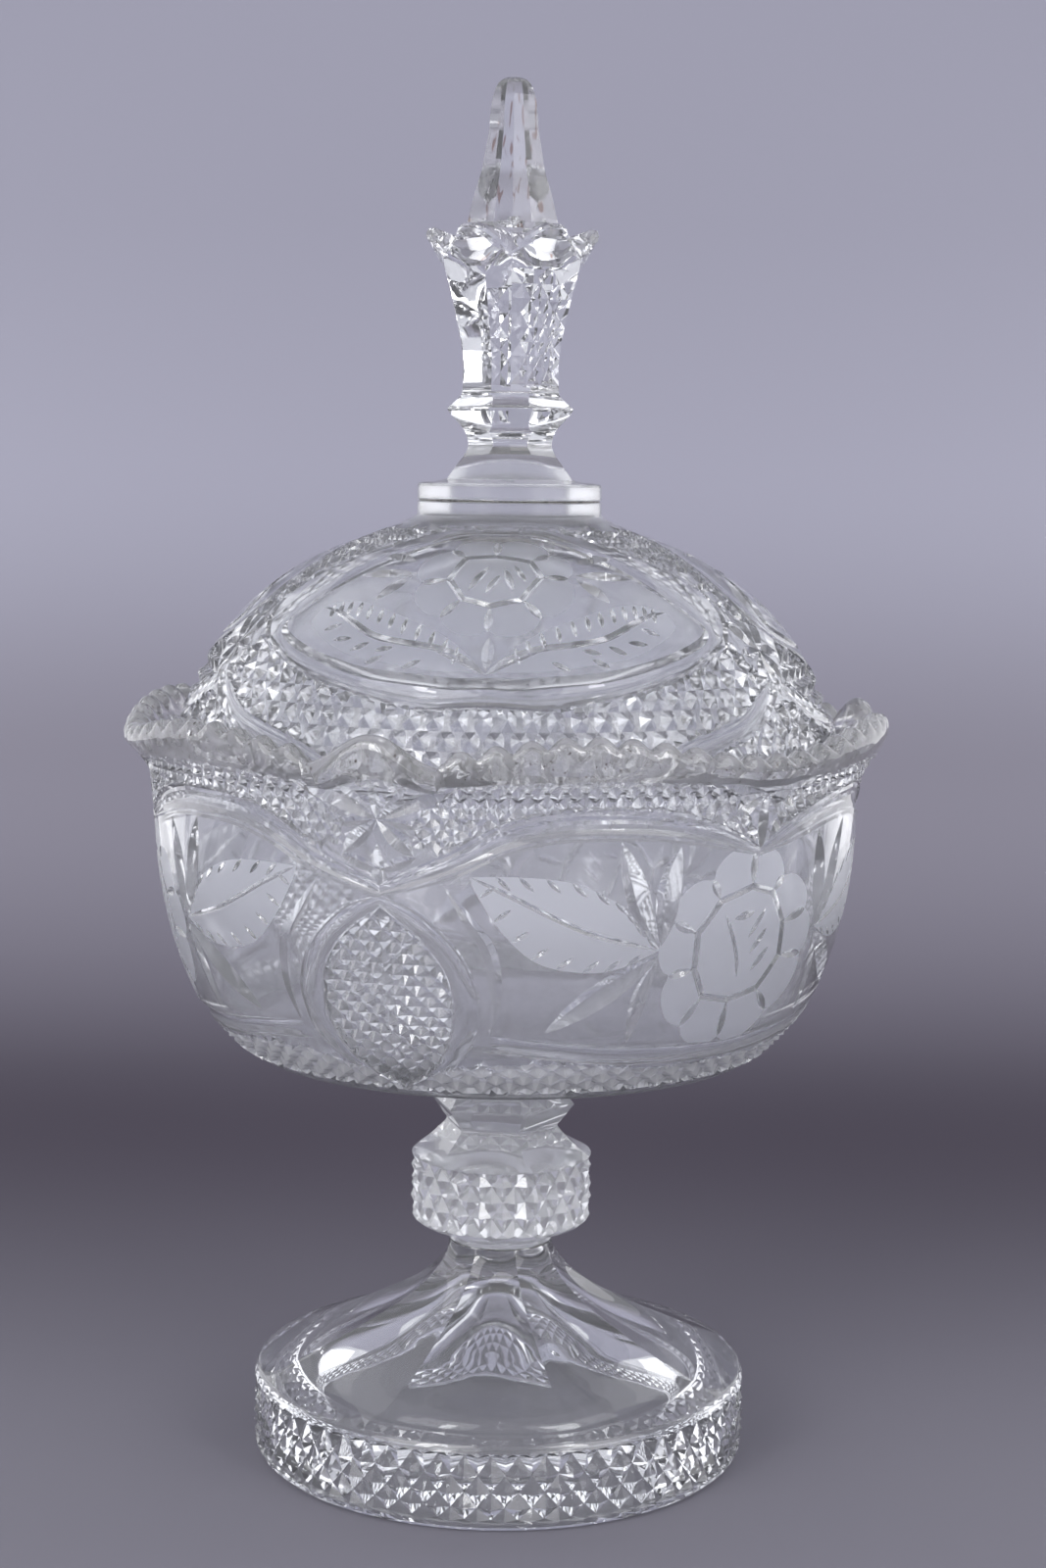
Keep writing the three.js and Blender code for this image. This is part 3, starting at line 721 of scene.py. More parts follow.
@dataclass
class CutSurface:
    """Turned surface with its ornament cut in, between two plain rings."""

    chart: Chart
    low_angles: Array
    high_angles: Array
    low_place: float
    high_place: float
    cuts: list[Cut] = field(default_factory=list)
    fields: list[DiamondField] = field(default_factory=list)
    frosted: list[FrostedArea] = field(default_factory=list)
    spacing: float = 3.4
    lift: Callable[[Array, Array], Array] | None = None

    def views(self, angle: Array, place: Array) -> list[tuple[Array, Array, float]]:
        """Places as they look from each of the sectors and from its mirror image.

        Args:
            angle: angles.
            place: distances along the outline.

        Returns:
            Flat points, angles from the sector's middle, and 1, or -1 for the mirror image.
        """
        seen = []
        for k in range(SECTORS):
            own = wrapped(angle - self.chart.axis_angle - k * SECTOR_ANGLE, 360.0)
            flat = self.chart.draw(own, place)
            seen += [(flat * (side, 1.0), side * own, side) for side in (1.0, -1.0)]
        return seen

    def depths(self, angle: Array, place: Array) -> tuple[Array, Array, Array]:
        """Depth of the deepest cut at places, with marks for cuts and for diamonds.

        Args:
            angle: angles.
            place: distances along the outline.

        Returns:
            The depths, which places are in or beside a cut, and which are among diamonds.
        """
        depth = np.zeros(len(angle))
        cut_mark = np.zeros(len(angle), bool)
        field_mark = np.zeros(len(angle), bool)
        for flat, own, side in self.views(angle, place):
            for cut in self.cuts:
                near = in_box(flat, *cut.reach()) if side > 0 or cut.mirrored else []
                if len(near):
                    made, beside = cut.depth_at(flat[near])
                    depth[near] = np.maximum(depth[near], made)
                    cut_mark[near] |= beside
            for area in self.fields:
                if side > 0 or area.mirrored:
                    near = in_outline(flat, area.outline)
                    depth[near] = np.maximum(depth[near], area.depth_at(own[near], place[near]))
                    field_mark[near] = True
        return depth, cut_mark, field_mark

    def area_mask(self, areas: Sequence[FrostedArea | DiamondField], angle: Array, place: Array) -> Array:
        """Which places lie in any of some areas.

        Args:
            areas: the areas.
            angle: angles.
            place: distances along the outline.

        Returns:
            A mark for each place.
        """
        mask = np.zeros(len(angle), bool)
        for flat, _, side in self.views(angle, place):
            for area in areas:
                if side > 0 or area.mirrored:
                    mask[in_outline(flat, area.outline)] = True
        return mask

    def finish_at(self, angle: Array, place: Array) -> Array:
        """Finish of places: matt where frosted and not cut, and a field's own among its diamonds.

        Args:
            angle: angles.
            place: distances along the outline.

        Returns:
            Finish numbers.
        """
        matt = self.area_mask(self.frosted, angle, place) & (self.depths(angle, place)[0] <= POLISHED_DEPTH)
        finish = np.where(matt, Finish.FROSTED, Finish.POLISHED)
        for area in self.fields:
            if area.finish is not Finish.POLISHED:
                finish = np.where(self.area_mask([area], angle, place), area.finish, finish)
        return finish

    def field_lines(self, area: DiamondField) -> tuple[list[Array], Array]:
        """Groove lines of a field of diamonds, and the tips of its pyramids, in angle and place.

        Args:
            area: the field.

        Returns:
            Short lines of two points each, and the tips.
        """
        dense = resample(np.vstack([area.outline, area.outline[:1]]), 1.0)
        angle, place = self.chart.read(dense)
        p, q = area.numbers(angle, place)
        p_range = np.arange(math.floor(p.min()), math.ceil(p.max()) + 1)
        q_range = np.arange(math.floor(q.min()), math.ceil(q.max()) + 1)

        def located(pp: Array, qq: Array) -> Array:
            """Angle and place of groove numbers."""
            height = (pp - qq) * area.half_row + area.first_row
            return np.stack([(pp + qq) * area.half_angle, height], axis=-1)

        def is_inside(spot: Array) -> Array:
            """Whether points given by angle and place lie in the field."""
            return inside_polygon(self.chart.draw(spot[:, 0], spot[:, 1]), area.outline)

        parts = 4
        lines = []
        for swap in (False, True):
            whole, other = (q_range, p_range) if swap else (p_range, q_range)
            fine = np.arange(other[0] * parts, other[-1] * parts + 1) / parts
            grid_a, grid_b = np.meshgrid(whole, fine, indexing="ij")
            spots = located(grid_b, grid_a) if swap else located(grid_a, grid_b)
            keep = is_inside(spots.reshape(-1, 2)).reshape(grid_a.shape)
            either = keep[:, :-1] | keep[:, 1:]
            rows, columns = np.nonzero(either)
            lines.append(np.stack([spots[rows, columns], spots[rows, columns + 1]], axis=1))
        half_p, half_q = np.meshgrid(p_range[:-1] + 0.5, q_range[:-1] + 0.5, indexing="ij")
        tips = located(half_p.ravel(), half_q.ravel())
        return list(np.vstack(lines)), tips[is_inside(tips)]

    def sector_lines(self) -> tuple[list[Array], list[Array]]:
        """Everything that is drawn in one sector, as angle from its middle and place.

        Returns:
            Every line and every single point.
        """
        lines: list[Array] = []
        spots: list[Array] = []
        for cut in self.cuts:
            for edge in cut.edges():
                lines += with_mirror(np.stack(self.chart.read(edge), axis=-1), cut.mirrored)
        for area in [*self.frosted, *self.fields]:
            closed = resample(np.vstack([area.outline, area.outline[:1]]), OUTLINE_STEP)
            lines += with_mirror(np.stack(self.chart.read(closed), axis=-1), area.mirrored)
            if isinstance(area, DiamondField):
                grooves, tips = self.field_lines(area)
                for line in grooves:
                    lines += with_mirror(line, area.mirrored)
                spots += with_mirror(tips, area.mirrored)
        return lines, spots

    def drawing(self) -> tuple[Array, Array]:
        """Drawing of the whole turn in the conformal plane.

        Returns:
            Its points, and its edges as pairs of point numbers.
        """
        lines, spots = self.sector_lines()
        low, high = self.low_place + RING_MARGIN, self.high_place - RING_MARGIN
        lengths = np.array([len(line) for line in lines])
        stacked = np.vstack(lines)
        stacked[:, 1] = np.clip(stacked[:, 1], low, high)
        starts = np.concatenate([[0], np.cumsum(lengths)])
        not_last = np.ones(len(stacked), bool)
        not_last[starts[1:] - 1] = False
        from_point = np.flatnonzero(not_last)
        edges = np.stack([from_point, from_point + 1], axis=1)
        loose = np.vstack(spots) if spots else np.zeros((0, 2))
        sector = np.vstack([stacked, loose])
        all_points, all_edges = [], []
        for k in range(SECTORS):
            angle = sector[:, 0] + self.chart.axis_angle + k * SECTOR_ANGLE
            all_edges.append(edges + k * len(sector))
            all_points.append(self.chart.to_plane(angle, sector[:, 1]))
        count = SECTORS * len(sector)
        for angles, place in ((self.low_angles, self.low_place), (self.high_angles, self.high_place)):
            i = np.arange(len(angles))
            all_points.append(self.chart.to_plane(angles, np.full(len(angles), place)))
            all_edges.append(np.stack([count + i, count + (i + 1) % len(angles)], axis=1))
            count += len(angles)
        all_points.append(self.background())
        return np.vstack(all_points), np.vstack(all_edges)

    def background(self) -> Array:
        """Spreads points over the plain parts of the surface, in a pattern of equal triangles.

        Returns:
            The points, in the conformal plane.
        """
        # Height of a triangle with equal sides.
        row_step = 0.87 * self.spacing
        rows = np.arange(self.low_place + self.spacing, self.high_place - self.spacing / 2, row_step)
        radii = self.chart.profile.at(rows)[0]
        spread = []
        for k, (place, radius) in enumerate(zip(rows, radii)):
            per_sector = max(6, int(round(2 * math.pi * radius / SECTORS / self.spacing)))
            angle = SECTOR_ANGLE * (np.arange(per_sector) + 0.5 * (k % 2)) / per_sector
            spread.append(np.stack([angle + self.chart.axis_angle, np.full(per_sector, place)], axis=1))
        own = np.vstack(spread)
        _, beside, among = self.depths(own[:, 0], own[:, 1])
        own = own[~(beside | among)]
        turns = np.arange(SECTORS) * SECTOR_ANGLE
        angle = (own[:, 0, None] + turns).ravel()
        place = np.repeat(own[:, 1], SECTORS)
        return self.chart.to_plane(angle, place)

    def patch(self) -> Patch:
        """Triangulates the drawing and sinks each point to the depth of its cut.

        Returns:
            The whole surface.
        """
        plane_points, edges = self.drawing()
        found = delaunay_2d_cdt(plane_points.tolist(), edges.tolist(), [], 0, PLANE_TOLERANCE, False)
        plane = np.array([tuple(v) for v in found[0]])
        triangles = np.array(found[2], int)
        angle, place = self.chart.from_plane(plane)
        ends = (self.low_place, self.high_place)
        limits = sorted(math.hypot(*self.chart.to_plane(0.0, end)) for end in ends)
        centre = plane[triangles].mean(1)
        reach = np.hypot(centre[:, 0], centre[:, 1])
        # The middles of the hole's own triangles lie further in than its sides.
        hole = limits[0] * math.cos(math.radians(1.0))
        triangles = triangles[(reach > hole) & (reach < limits[1])]
        from_ring = np.minimum(np.abs(place - self.low_place), np.abs(place - self.high_place))
        depth = np.where(from_ring < ON_RING, 0.0, self.depths(angle, place)[0])
        radius, height = self.chart.profile.at(place)
        out_radius, out_height = self.chart.profile.outward(place)
        raised = 0.0 if self.lift is None else self.lift(angle, height)
        points = polar(angle, radius - depth * out_radius, height - depth * out_height + raised)
        if self.chart.sign > 0:
            triangles = triangles[:, ::-1]
        finishes = self.finish_at(*self.chart.from_plane(plane[triangles].mean(1)))
        return Patch(points, triangles, finishes.astype(int))


# Finishes


def linear(hex_colour: str) -> tuple[float, float, float, float]:
    """Linear colour of an sRGB hex colour.

    Args:
        hex_colour: the colour, as in #a0b0c0.

    Returns:
        Red, green, blue and a full alpha.
    """
    values = np.array([int(hex_colour[k : k + 2], 16) / 255 for k in (1, 3, 5)])
    made = np.where(values <= 0.04045, values / 12.92, ((values + 0.055) / 1.055) ** 2.4)
    return (*made.tolist(), 1.0)


def per_size(size: float) -> float:
    """Scale of a noise whose marks are about a size in millimetres."""
    return 1 / (size * MILLIMETRE)


def add_node(
    tree: bpy.types.NodeTree,
    kind: str,
    links: dict[str | int, bpy.types.NodeSocket] | None = None,
    values: dict[str | int, object] | None = None,
    stops: tuple[tuple[float, str], ...] = (),
    **settings: object,
) -> bpy.types.Node:
    """Adds a node to a tree.

    Args:
        tree: tree that gets it.
        kind: Blender's name of the node type.
        links: output sockets by the name of the input that each feeds.
        values: values by the name of the input that each is set on.
        stops: positions and colours of its ramp, both ends first.
        settings: attributes of the node.

    Returns:
        The node.
    """
    made = tree.nodes.new(kind)
    for name, value in settings.items():
        setattr(made, name, value)
    for name, value in (values or {}).items():
        made.inputs[name].default_value = value
    for name, socket in (links or {}).items():
        tree.links.new(socket, made.inputs[name])
    for k, (position, colour) in enumerate(stops):
        elements = made.color_ramp.elements
        element = elements[k] if k < 2 else elements.new(position)
        element.position = position
        element.color = linear(colour)
    return made


@dataclass(frozen=True)
class NewMaterial:
    """New material, with its tree, its Principled shader and its Object coordinates."""

    material: bpy.types.Material
    tree: bpy.types.NodeTree
    shader: bpy.types.Node
    place: dict[str, bpy.types.NodeSocket]

    @staticmethod
    def make(name: str, values: dict[str, object]) -> "NewMaterial":
        """Makes the material.

        Args:
            name: its name.
            values: values by the name of the shader's socket that each is set on.

        Returns:
            The material and what its nodes are joined to.
        """
        material = bpy.data.materials.new(name)
        material.use_nodes = True
        tree = material.node_tree
        shader = tree.nodes["Principled BSDF"]
        for socket, value in values.items():
            shader.inputs[socket].default_value = value
        place = add_node(tree, "ShaderNodeTexCoord").outputs["Object"]
        return NewMaterial(material, tree, shader, {"Vector": place})

    def feed(self, socket: str, output: bpy.types.NodeSocket) -> None:
        """Joins an output to one of the shader's sockets."""
        self.tree.links.new(output, self.shader.inputs[socket])


@dataclass(frozen=True)
class PolishedCrystal:
    """Lead crystal, pressed and acid polished: clear and glossy, with the faint waves of the mould.

    The eye gets bright broken reflections and refractions, softened a little by dust and wear. Less
    clearness gives the glass more of a pale grey body of its own.
    """

    name: str = "crystal_pressed_acid_polished"
    colour: str = "#fbfcfe"
    index: float = 1.56
    clearness: float = 0.95
    roughness: tuple[float, float] = (0.01, 0.04)
    smear_size: float = 22.0
    wave_size: float = 9.0
    wave_height: float = 0.05

    def make(self) -> bpy.types.Material:
        """Builds the material.

        Returns:
            The material.
        """
        new = NewMaterial.make(self.name, {
            "Base Color": linear(self.colour), "Transmission Weight": self.clearness, "IOR": self.index,
        })
        smears = add_node(
            new.tree, "ShaderNodeTexNoise", new.place,
            {"Scale": per_size(self.smear_size), "Detail": 4.0, "Roughness": 0.6},
        )
        spread = add_node(
            new.tree, "ShaderNodeMapRange", {"Value": smears.outputs["Fac"]},
            {"From Min": 0.45, "From Max": 0.75, "To Min": self.roughness[0], "To Max": self.roughness[1]},
        )
        new.feed("Roughness", spread.outputs["Result"])
        waves = add_node(
            new.tree, "ShaderNodeTexNoise", new.place, {"Scale": per_size(self.wave_size), "Detail": 1.0}
        )
        bump = add_node(
            new.tree, "ShaderNodeBump", {"Height": waves.outputs["Fac"]},
            {"Strength": 1.0, "Distance": self.wave_height * MILLIMETRE},
        )
        new.feed("Normal", bump.outputs["Normal"])
        return new.material


@dataclass(frozen=True)
class FrostedCrystal:
    """Lead crystal matted with sand or acid: a fine even tooth that scatters light to a soft grey-white.

    The real tooth is under 0.1 mm and too fine to show, so it is drawn coarser.
    """

    name: str = "crystal_sand_frosted"
    colour: str = "#eceef4"
    index: float = 1.54
    roughness: float = 0.4
    clearness: float = 0.66
    grain_size: float = 0.35
    grain_height: float = 0.03

    def make(self) -> bpy.types.Material:
        """Builds the material.

        Returns:
            The material.
        """
        new = NewMaterial.make(self.name, {
            "Base Color": linear(self.colour), "Transmission Weight": self.clearness, "IOR": self.index,
            "Roughness": self.roughness,
        })
        grain = add_node(
            new.tree, "ShaderNodeTexNoise", new.place, {"Scale": per_size(self.grain_size), "Detail": 3.0}
        )
        bump = add_node(
            new.tree, "ShaderNodeBump", {"Height": grain.outputs["Fac"]},
            {"Strength": 1.0, "Distance": self.grain_height * MILLIMETRE},
        )
        new.feed("Normal", bump.outputs["Normal"])
        return new.material


@dataclass(frozen=True)
class DustyCrystal:
    """Polished crystal where dirt has settled and stays: dark specks, or streaks, on clear glass.

    A stretch below 1 draws the specks out upwards, as where drops have run down and dried.
    """

    name: str = "crystal_polished_dusty"
    colour: str = "#f7f7f6"
    speck_colour: str = "#5d5048"
    index: float = 1.56
    roughness: float = 0.03
    clearness: float = 0.9
    speck_size: float = 1.3
    stretch: float = 1.0
    reach: float = 0.31
    blur: float = 0.04

    def make(self) -> bpy.types.Material:
        """Builds the material, whose specks are the places where a noise is below the reach.

        Returns:
            The material.
        """
        new = NewMaterial.make(self.name, {
            "Transmission Weight": self.clearness, "IOR": self.index, "Roughness": self.roughness,
        })
        drawn = add_node(new.tree, "ShaderNodeMapping", new.place, {"Scale": (1.0, 1.0, self.stretch)})
        specks = add_node(
            new.tree, "ShaderNodeTexNoise", {"Vector": drawn.outputs["Vector"]},
            {"Scale": per_size(self.speck_size), "Detail": 1.0},
        )
        colours = add_node(
            new.tree, "ShaderNodeValToRGB", {"Fac": specks.outputs["Fac"]},
            stops=((self.reach - self.blur, self.speck_colour), (self.reach, self.colour)),
        )
        new.feed("Base Color", colours.outputs["Color"])
        return new.material


@dataclass(frozen=True)
class CuredAdhesive:
    """Cured clear adhesive, squeezed to a thin film: milky, a little yellowed, with specks of old dust."""

    name: str = "adhesive_cured_film"
    colour: str = "#d8d4c8"
    dirt_colour: str = "#6a5f55"
    index: float = 1.5
    clearness: float = 0.85
    roughness: float = 0.35
    speck_size: float = 1.4
    dirt_reach: tuple[float, float] = (0.36, 0.5)

    def make(self) -> bpy.types.Material:
        """Builds the material.

        Returns:
            The material.
        """
        new = NewMaterial.make(self.name, {
            "Transmission Weight": self.clearness, "IOR": self.index, "Roughness": self.roughness,
        })
        specks = add_node(
            new.tree, "ShaderNodeTexNoise", new.place, {"Scale": per_size(self.speck_size), "Detail": 2.0}
        )
        colours = add_node(
            new.tree, "ShaderNodeValToRGB", {"Fac": specks.outputs["Fac"]},
            stops=((self.dirt_reach[0], self.dirt_colour), (self.dirt_reach[1], self.colour)),
        )
        new.feed("Base Color", colours.outputs["Color"])
        return new.material


@dataclass(frozen=True)
class StudioPaper:
    """Matt backdrop paper: lavender grey, with painted shade: darker where the sweep bends away from the
    lamps, and painted paler up the wall.

    Its colour follows the sum of a place's depth and height in metres. Its back is clear, so that
    the object can be looked at from behind and from below.
    """

    name: str = "paper_backdrop_painted_shade"
    from_place: float = -0.6
    to_place: float = 2.2
    # Painted light and shade: the floor darkens from the front to a band of painted shade just before the
    # bend, and the wall is painted paler as it rises.
    stops: tuple[tuple[float, str], ...] = (
        (0.07, "#8c8a93"), (0.7, "#a9a8b6"), (0.185, "#75737c"), (0.36, "#4c4751"), (0.57, "#87848f"),
    )

    def make(self) -> bpy.types.Material:
        """Builds the material.

        Returns:
            The material.
        """
        new = NewMaterial.make(self.name, {"Roughness": 0.9, "Specular IOR Level": 0.1})
        parts = add_node(new.tree, "ShaderNodeSeparateXYZ", new.place)
        reach = add_node(
            new.tree, "ShaderNodeMath", {0: parts.outputs["Y"], 1: parts.outputs["Z"]}, operation="ADD"
        )
        share = add_node(
            new.tree, "ShaderNodeMapRange", {"Value": reach.outputs[0]},
            {"From Min": self.from_place, "From Max": self.to_place, "To Min": 0.0, "To Max": 1.0},
        )
        # This ramp paints the shade band and the paler wall into the paper's colour.
        colours = add_node(new.tree, "ShaderNodeValToRGB", {"Fac": share.outputs["Result"]}, stops=self.stops)
        colours.color_ramp.interpolation = "EASE"
        new.feed("Base Color", colours.outputs["Color"])
        side = add_node(new.tree, "ShaderNodeNewGeometry")
        clear = add_node(new.tree, "ShaderNodeBsdfTransparent")
        seen = add_node(new.tree, "ShaderNodeMixShader", {
            0: side.outputs["Backfacing"], 1: new.shader.outputs["BSDF"], 2: clear.outputs["BSDF"],
        })
        new.tree.links.new(seen.outputs["Shader"], new.tree.nodes["Material Output"].inputs["Surface"])
        return new.material


# Pieces


def hex_radius(angle: Array, corner_angle: float, side_distance: Array | float) -> Array:
    """Radius of a hexagon: the distance to its side over the cosine of the angle from its middle."""
    from_side = wrapped(np.asarray(angle) - corner_angle - 30, 60)
    return side_distance / np.cos(np.radians(from_side))


def add_profile(stack: RingStack, angles: Array, outline: Array, finish: int = 0) -> None:
    """Adds a round ring for each point of an outline."""
    for radius, height in outline:
        stack.add(polar(angles, radius, height), finish=finish)


def add_diamonds(stack: RingStack, angles: Array, rows: Array, radii: Array, depth: float,
                 mask: Array | None = None) -> None:
    """Adds rows of a diamond band, each diamond a pyramid between crossing grooves.

    A point whose column and row numbers add up to an even number is a crossing and is sunk, and
    the others are tips. Squares are split along the line between their two crossings.

    Args:
        stack: stack that gets the rows.
        angles: angles of the columns, an even number of them.
        rows: heights of the rows, from the bottom.
        radii: radius of each row, or of each point.
        depth: depth of the grooves.
        mask: share of the depth for each column.
    """
    columns = np.arange(len(angles))
    share = np.ones(len(angles)) if mask is None else mask
    for j, height in enumerate(rows):
        sunk = ((columns + j) % 2 == 0) * depth * share
        crossed = None if j == 0 else (columns + j - 1) % 2 == 0
        stack.add(polar(angles, radii[j] - sunk, height), crossed)


@dataclass
class Foot(GlassPiece):
    """Round foot: a rim with a band of diamonds, a trumpet with eight hollow flutes, hollow beneath."""

    name = "foot_crystal"
    body = "base"
    node = "foot"
    crease = 16.0

    columns: int = 240
    ridge_angle: float = 17.0
    flutes: int = 8
    flute_depth: float = 2.6
    height: float = 70.0
    top_radius: float = 17.2
    hollow_height: float = 53.0
    band_rows: Numbers = (3.9, 7.9, 12.6, 18.3, 24.5)
    band_radii: Numbers = (81.9, 82.3, 82.4, 82.3, 82.0)
    diamond_depth: float = 2.0
    hollow: Points = (
        (3, 52.8), (8.7, 50.9), (18.1, 45.1), (34.1, 37.1), (52.2, 29.7), (63.8, 22.5),
        (68.9, 14.8), (71.4, 5.8), (72.5, 0),
    )
    standing_ring: Points = ((73, 0), (78.6, 0), (79.9, 0.5), (81.2, 1.8), (81.8, 3.2))
    trumpet: Points = (
        (81.9, 25.6), (80.9, 27.9), (78.3, 29.3), (70, 32.6), (60.2, 37.2), (49.9, 42.1), (40, 47.3),
        (31.3, 52.4), (25.5, 57), (21.8, 61), (19.4, 64.5), (18, 67.6), (17.2, 70),
    )
    flute_shares: Numbers = (0, 0, 0.2, 0.6, 0.9, 1, 1, 0.9, 0.75, 0.6, 0.45, 0.25, 0)

    def patches(self) -> list[Patch]:
        """Builds the foot, whose flutes are hollow and meet in crisp ridges.

        A flute's depth is the size of the sine of half the flutes times the angle from a ridge.

        Returns:
            Its surface.
        """
        fine = even_angles(self.columns, self.ridge_angle)
        coarse = even_angles(self.columns // 2, self.ridge_angle)
        stack = RingStack()
        stack.close_first(self.hollow_height)
        add_profile(stack, coarse, smooth_line(self.hollow, 5))
        add_profile(stack, coarse, np.array(self.standing_ring))
        add_diamonds(stack, coarse, np.array(self.band_rows), np.array(self.band_radii), self.diamond_depth)
        line = smooth_line(self.trumpet, 5)
        shares = spread_over(line, self.flute_shares)
        wave = np.abs(np.sin(np.radians(self.flutes / 2 * (fine - self.ridge_angle))))
        for (radius, height), (out_r, out_z), share in zip(line[:-1], -normals_of(line), shares):
            sunk = self.flute_depth * share * wave
            stack.add(polar(fine, radius - sunk * out_r, height - sunk * out_z))
        stack.add(polar(fine, self.top_radius, self.height - JOINT_GAP))
        stack.close_last(self.height - JOINT_GAP)
        return [stack.patch()]


@dataclass
class Stem(GlassPiece):
    """Solid stem: round knop with a band of diamonds and six hollow facets, hexagonal neck and collar."""

    name = "stem_crystal"
    body = "base"
    node = "stem"

    columns: int = 96
    corner_angle: float = 16.7
    bottom: float = 70.4
    top: float = 121.6
    band_rows: Numbers = (79.0, 84.3, 89.6, 94.9, 99.2)
    band_radii: Numbers = (29.9, 30.2, 30.2, 30.1, 29.9)
    diamond_depth: float = 2.1
    facets: Points = (
        (29.9, 99.4), (28.6, 100.6), (25.6, 102.9), (23, 105.2), (20.8, 107.4), (19.3, 109.1), (19, 110.2),
    )
    facet_shares: Numbers = (0.0, 0.3, 0.75, 1.0, 1.0, 1.0, 1.0)
    underside: Points = ((17.2, 72), (18.2, 72.9), (19.6, 73.5), (24, 75.2), (27.8, 76.7), (29.2, 77.9))
    collar: Points = ((19.9, 110.8), (24.5, 117), (24.4, 117.5), (24, 117.9), (20.9, 121.4))
    end_radii: tuple[float, float] = (17.1, 20.6)

    def patches(self) -> list[Patch]:
        """Builds the stem, whose facets pass from a circle to a hexagon as they rise.

        Returns:
            Its surface.
        """
        fine = even_angles(self.columns, self.corner_angle)
        coarse = even_angles(self.columns // 2, self.corner_angle)
        stack = RingStack()
        low = self.bottom + JOINT_GAP
        stack.close_first(low)
        add_profile(stack, fine, np.array([(self.end_radii[0], low), *self.underside]))
        add_diamonds(stack, coarse, np.array(self.band_rows), np.array(self.band_radii), self.diamond_depth)
        line = smooth_line(self.facets, 4)
        face = math.cos(math.radians(30))
        for (radius, height), share in zip(line, spread_over(line, self.facet_shares)):
            flat = hex_radius(fine, self.corner_angle, radius * face)
            stack.add(polar(fine, radius + (flat - radius) * share, height))
        high = self.top - JOINT_GAP
        for radius, height in (*self.collar, (self.end_radii[1], high)):
            stack.add(polar(fine, hex_radius(fine, self.corner_angle, radius * face), height))
        stack.close_last(high)
        return [stack.patch()]


@dataclass
class Finial(GlassPiece):
    """Solid finial: round disc, hexagonal neck and ring, a body with six leaf tips, hexagonal spire."""

    name = "finial_crystal"
    body = "lid"
    node = "finial"

    columns: int = 72
    bottom: float = 316.0
    disc_bottom_radius: float = 29.6
    disc: Points = ((29.8, 316.4), (29.8, 320.4), (29.5, 321.1), (28.8, 321.4), (26.5, 321.6))
    body_low: Points = (
        (20, 322.7), (16.6, 327.6), (14.2, 331), (13.4, 334), (14.8, 338.4), (19.8, 344.2),
        (19, 346), (15.8, 349.2), (15.3, 351.8),
    )
    body_high: Points = (
        (15.3, 351.8), (15.2, 359.9), (16, 366.3), (17.4, 373), (19, 380), (20.8, 387), (21.3, 389),
    )
    spire: Points = (
        (14.4, 403.6), (12.2, 412.8), (10.2, 419.4), (8.9, 426.9), (7.9, 432.5), (7.5, 438), (6.9, 442.6),
        (5.9, 445.9),
    )
    point: Points = ((5, 447.6), (3.7, 448.8), (1.9, 449.6))
    crown: tuple[tuple[Point, Point], ...] = (
        ((25.1, 391.6), (23.8, 392.8)), ((25.3, 392), (25.4, 395.6)), ((25.2, 392.6), (27.3, 398.6)),
        ((24.9, 393.4), (27.6, 400.4)), ((24.2, 394.3), (27, 401.9)), ((22.6, 396.2), (24.9, 402.4)),
        ((20.8, 398), (22.6, 401.4)), ((19.2, 399.6), (19.4, 399.6)), ((17.4, 401.4), (16, 401.4)),
    )
    diamond_heights: tuple[float, float] = (352.6, 388.4)
    crown_base: Point = (21.3, 389.2)
    half_rows: int = 8
    diamond_depth: float = 1.2

    def hex_ring(self, angles: Array, side: float, height: float) -> Array:
        """Ring of a hexagon with a corner in front."""
        return polar(angles, hex_radius(angles, 0, side), height)

    def crown_ring(self, angles: Array, corner: Point, tip: Point) -> Array:
        """Ring that swings from a hexagon's corners out and up to the leaf tips in the middle of its sides.

        How far it has swung is 1.3 times the share of the way to a tip, and at most one. It bulges
        with the 1.4th power of that.

        Args:
            angles: angles of its points.
            corner: radius and height at the corners.
            tip: radius and height at the tips.

        Returns:
            The ring.
        """
        from_tip = np.abs(wrapped(angles - 30, 60)) / 30
        share = np.clip(1.3 * (1 - from_tip), 0, 1)
        side = corner[0] * math.cos(math.radians(30))
        bulge = (tip[0] - side) * share**1.4
        return polar(angles, hex_radius(angles, 0, side) + bulge, corner[1] + (tip[1] - corner[1]) * share)

    def patches(self) -> list[Patch]:
        """Builds the finial, ring by ring.

        Returns:
            Its surface.
        """
        fine = even_angles(self.columns)
        coarse = even_angles(self.columns // 2)
        low = self.bottom + JOINT_GAP
        stack = RingStack()
        stack.close_first(low)
        add_profile(stack, fine, np.array([(self.disc_bottom_radius, low), *self.disc]), Finish.WORN)
        for side, height in smooth_line(self.body_low, 4):
            stack.add(self.hex_ring(fine, side, height))
        body = smooth_line(self.body_high, 6)
        rows = np.linspace(*self.diamond_heights, self.half_rows + 1)
        sides = np.interp(rows, body[:, 1], body[:, 0])
        radii = hex_radius(coarse, 0, sides[:, None])
        # Every second side has diamonds, and the edges beside it stay whole.
        has_diamonds = (np.floor(coarse / 60).astype(int) % 2 == 0) & (coarse % 60 > 0.1)
        add_diamonds(stack, coarse, rows, radii, self.diamond_depth, has_diamonds.astype(float))
        stack.add(self.hex_ring(fine, *self.crown_base))
        for corner, tip in self.crown:
            stack.add(self.crown_ring(fine, corner, tip))
        for side, height in smooth_line(self.spire, 4):
            stack.add(self.hex_ring(fine, side, height), finish=Finish.DUSTY)
        for side, height in self.point:
            stack.add(self.hex_ring(fine, side, height))
        stack.close_last(TOTAL_HEIGHT)
        return [stack.patch()]


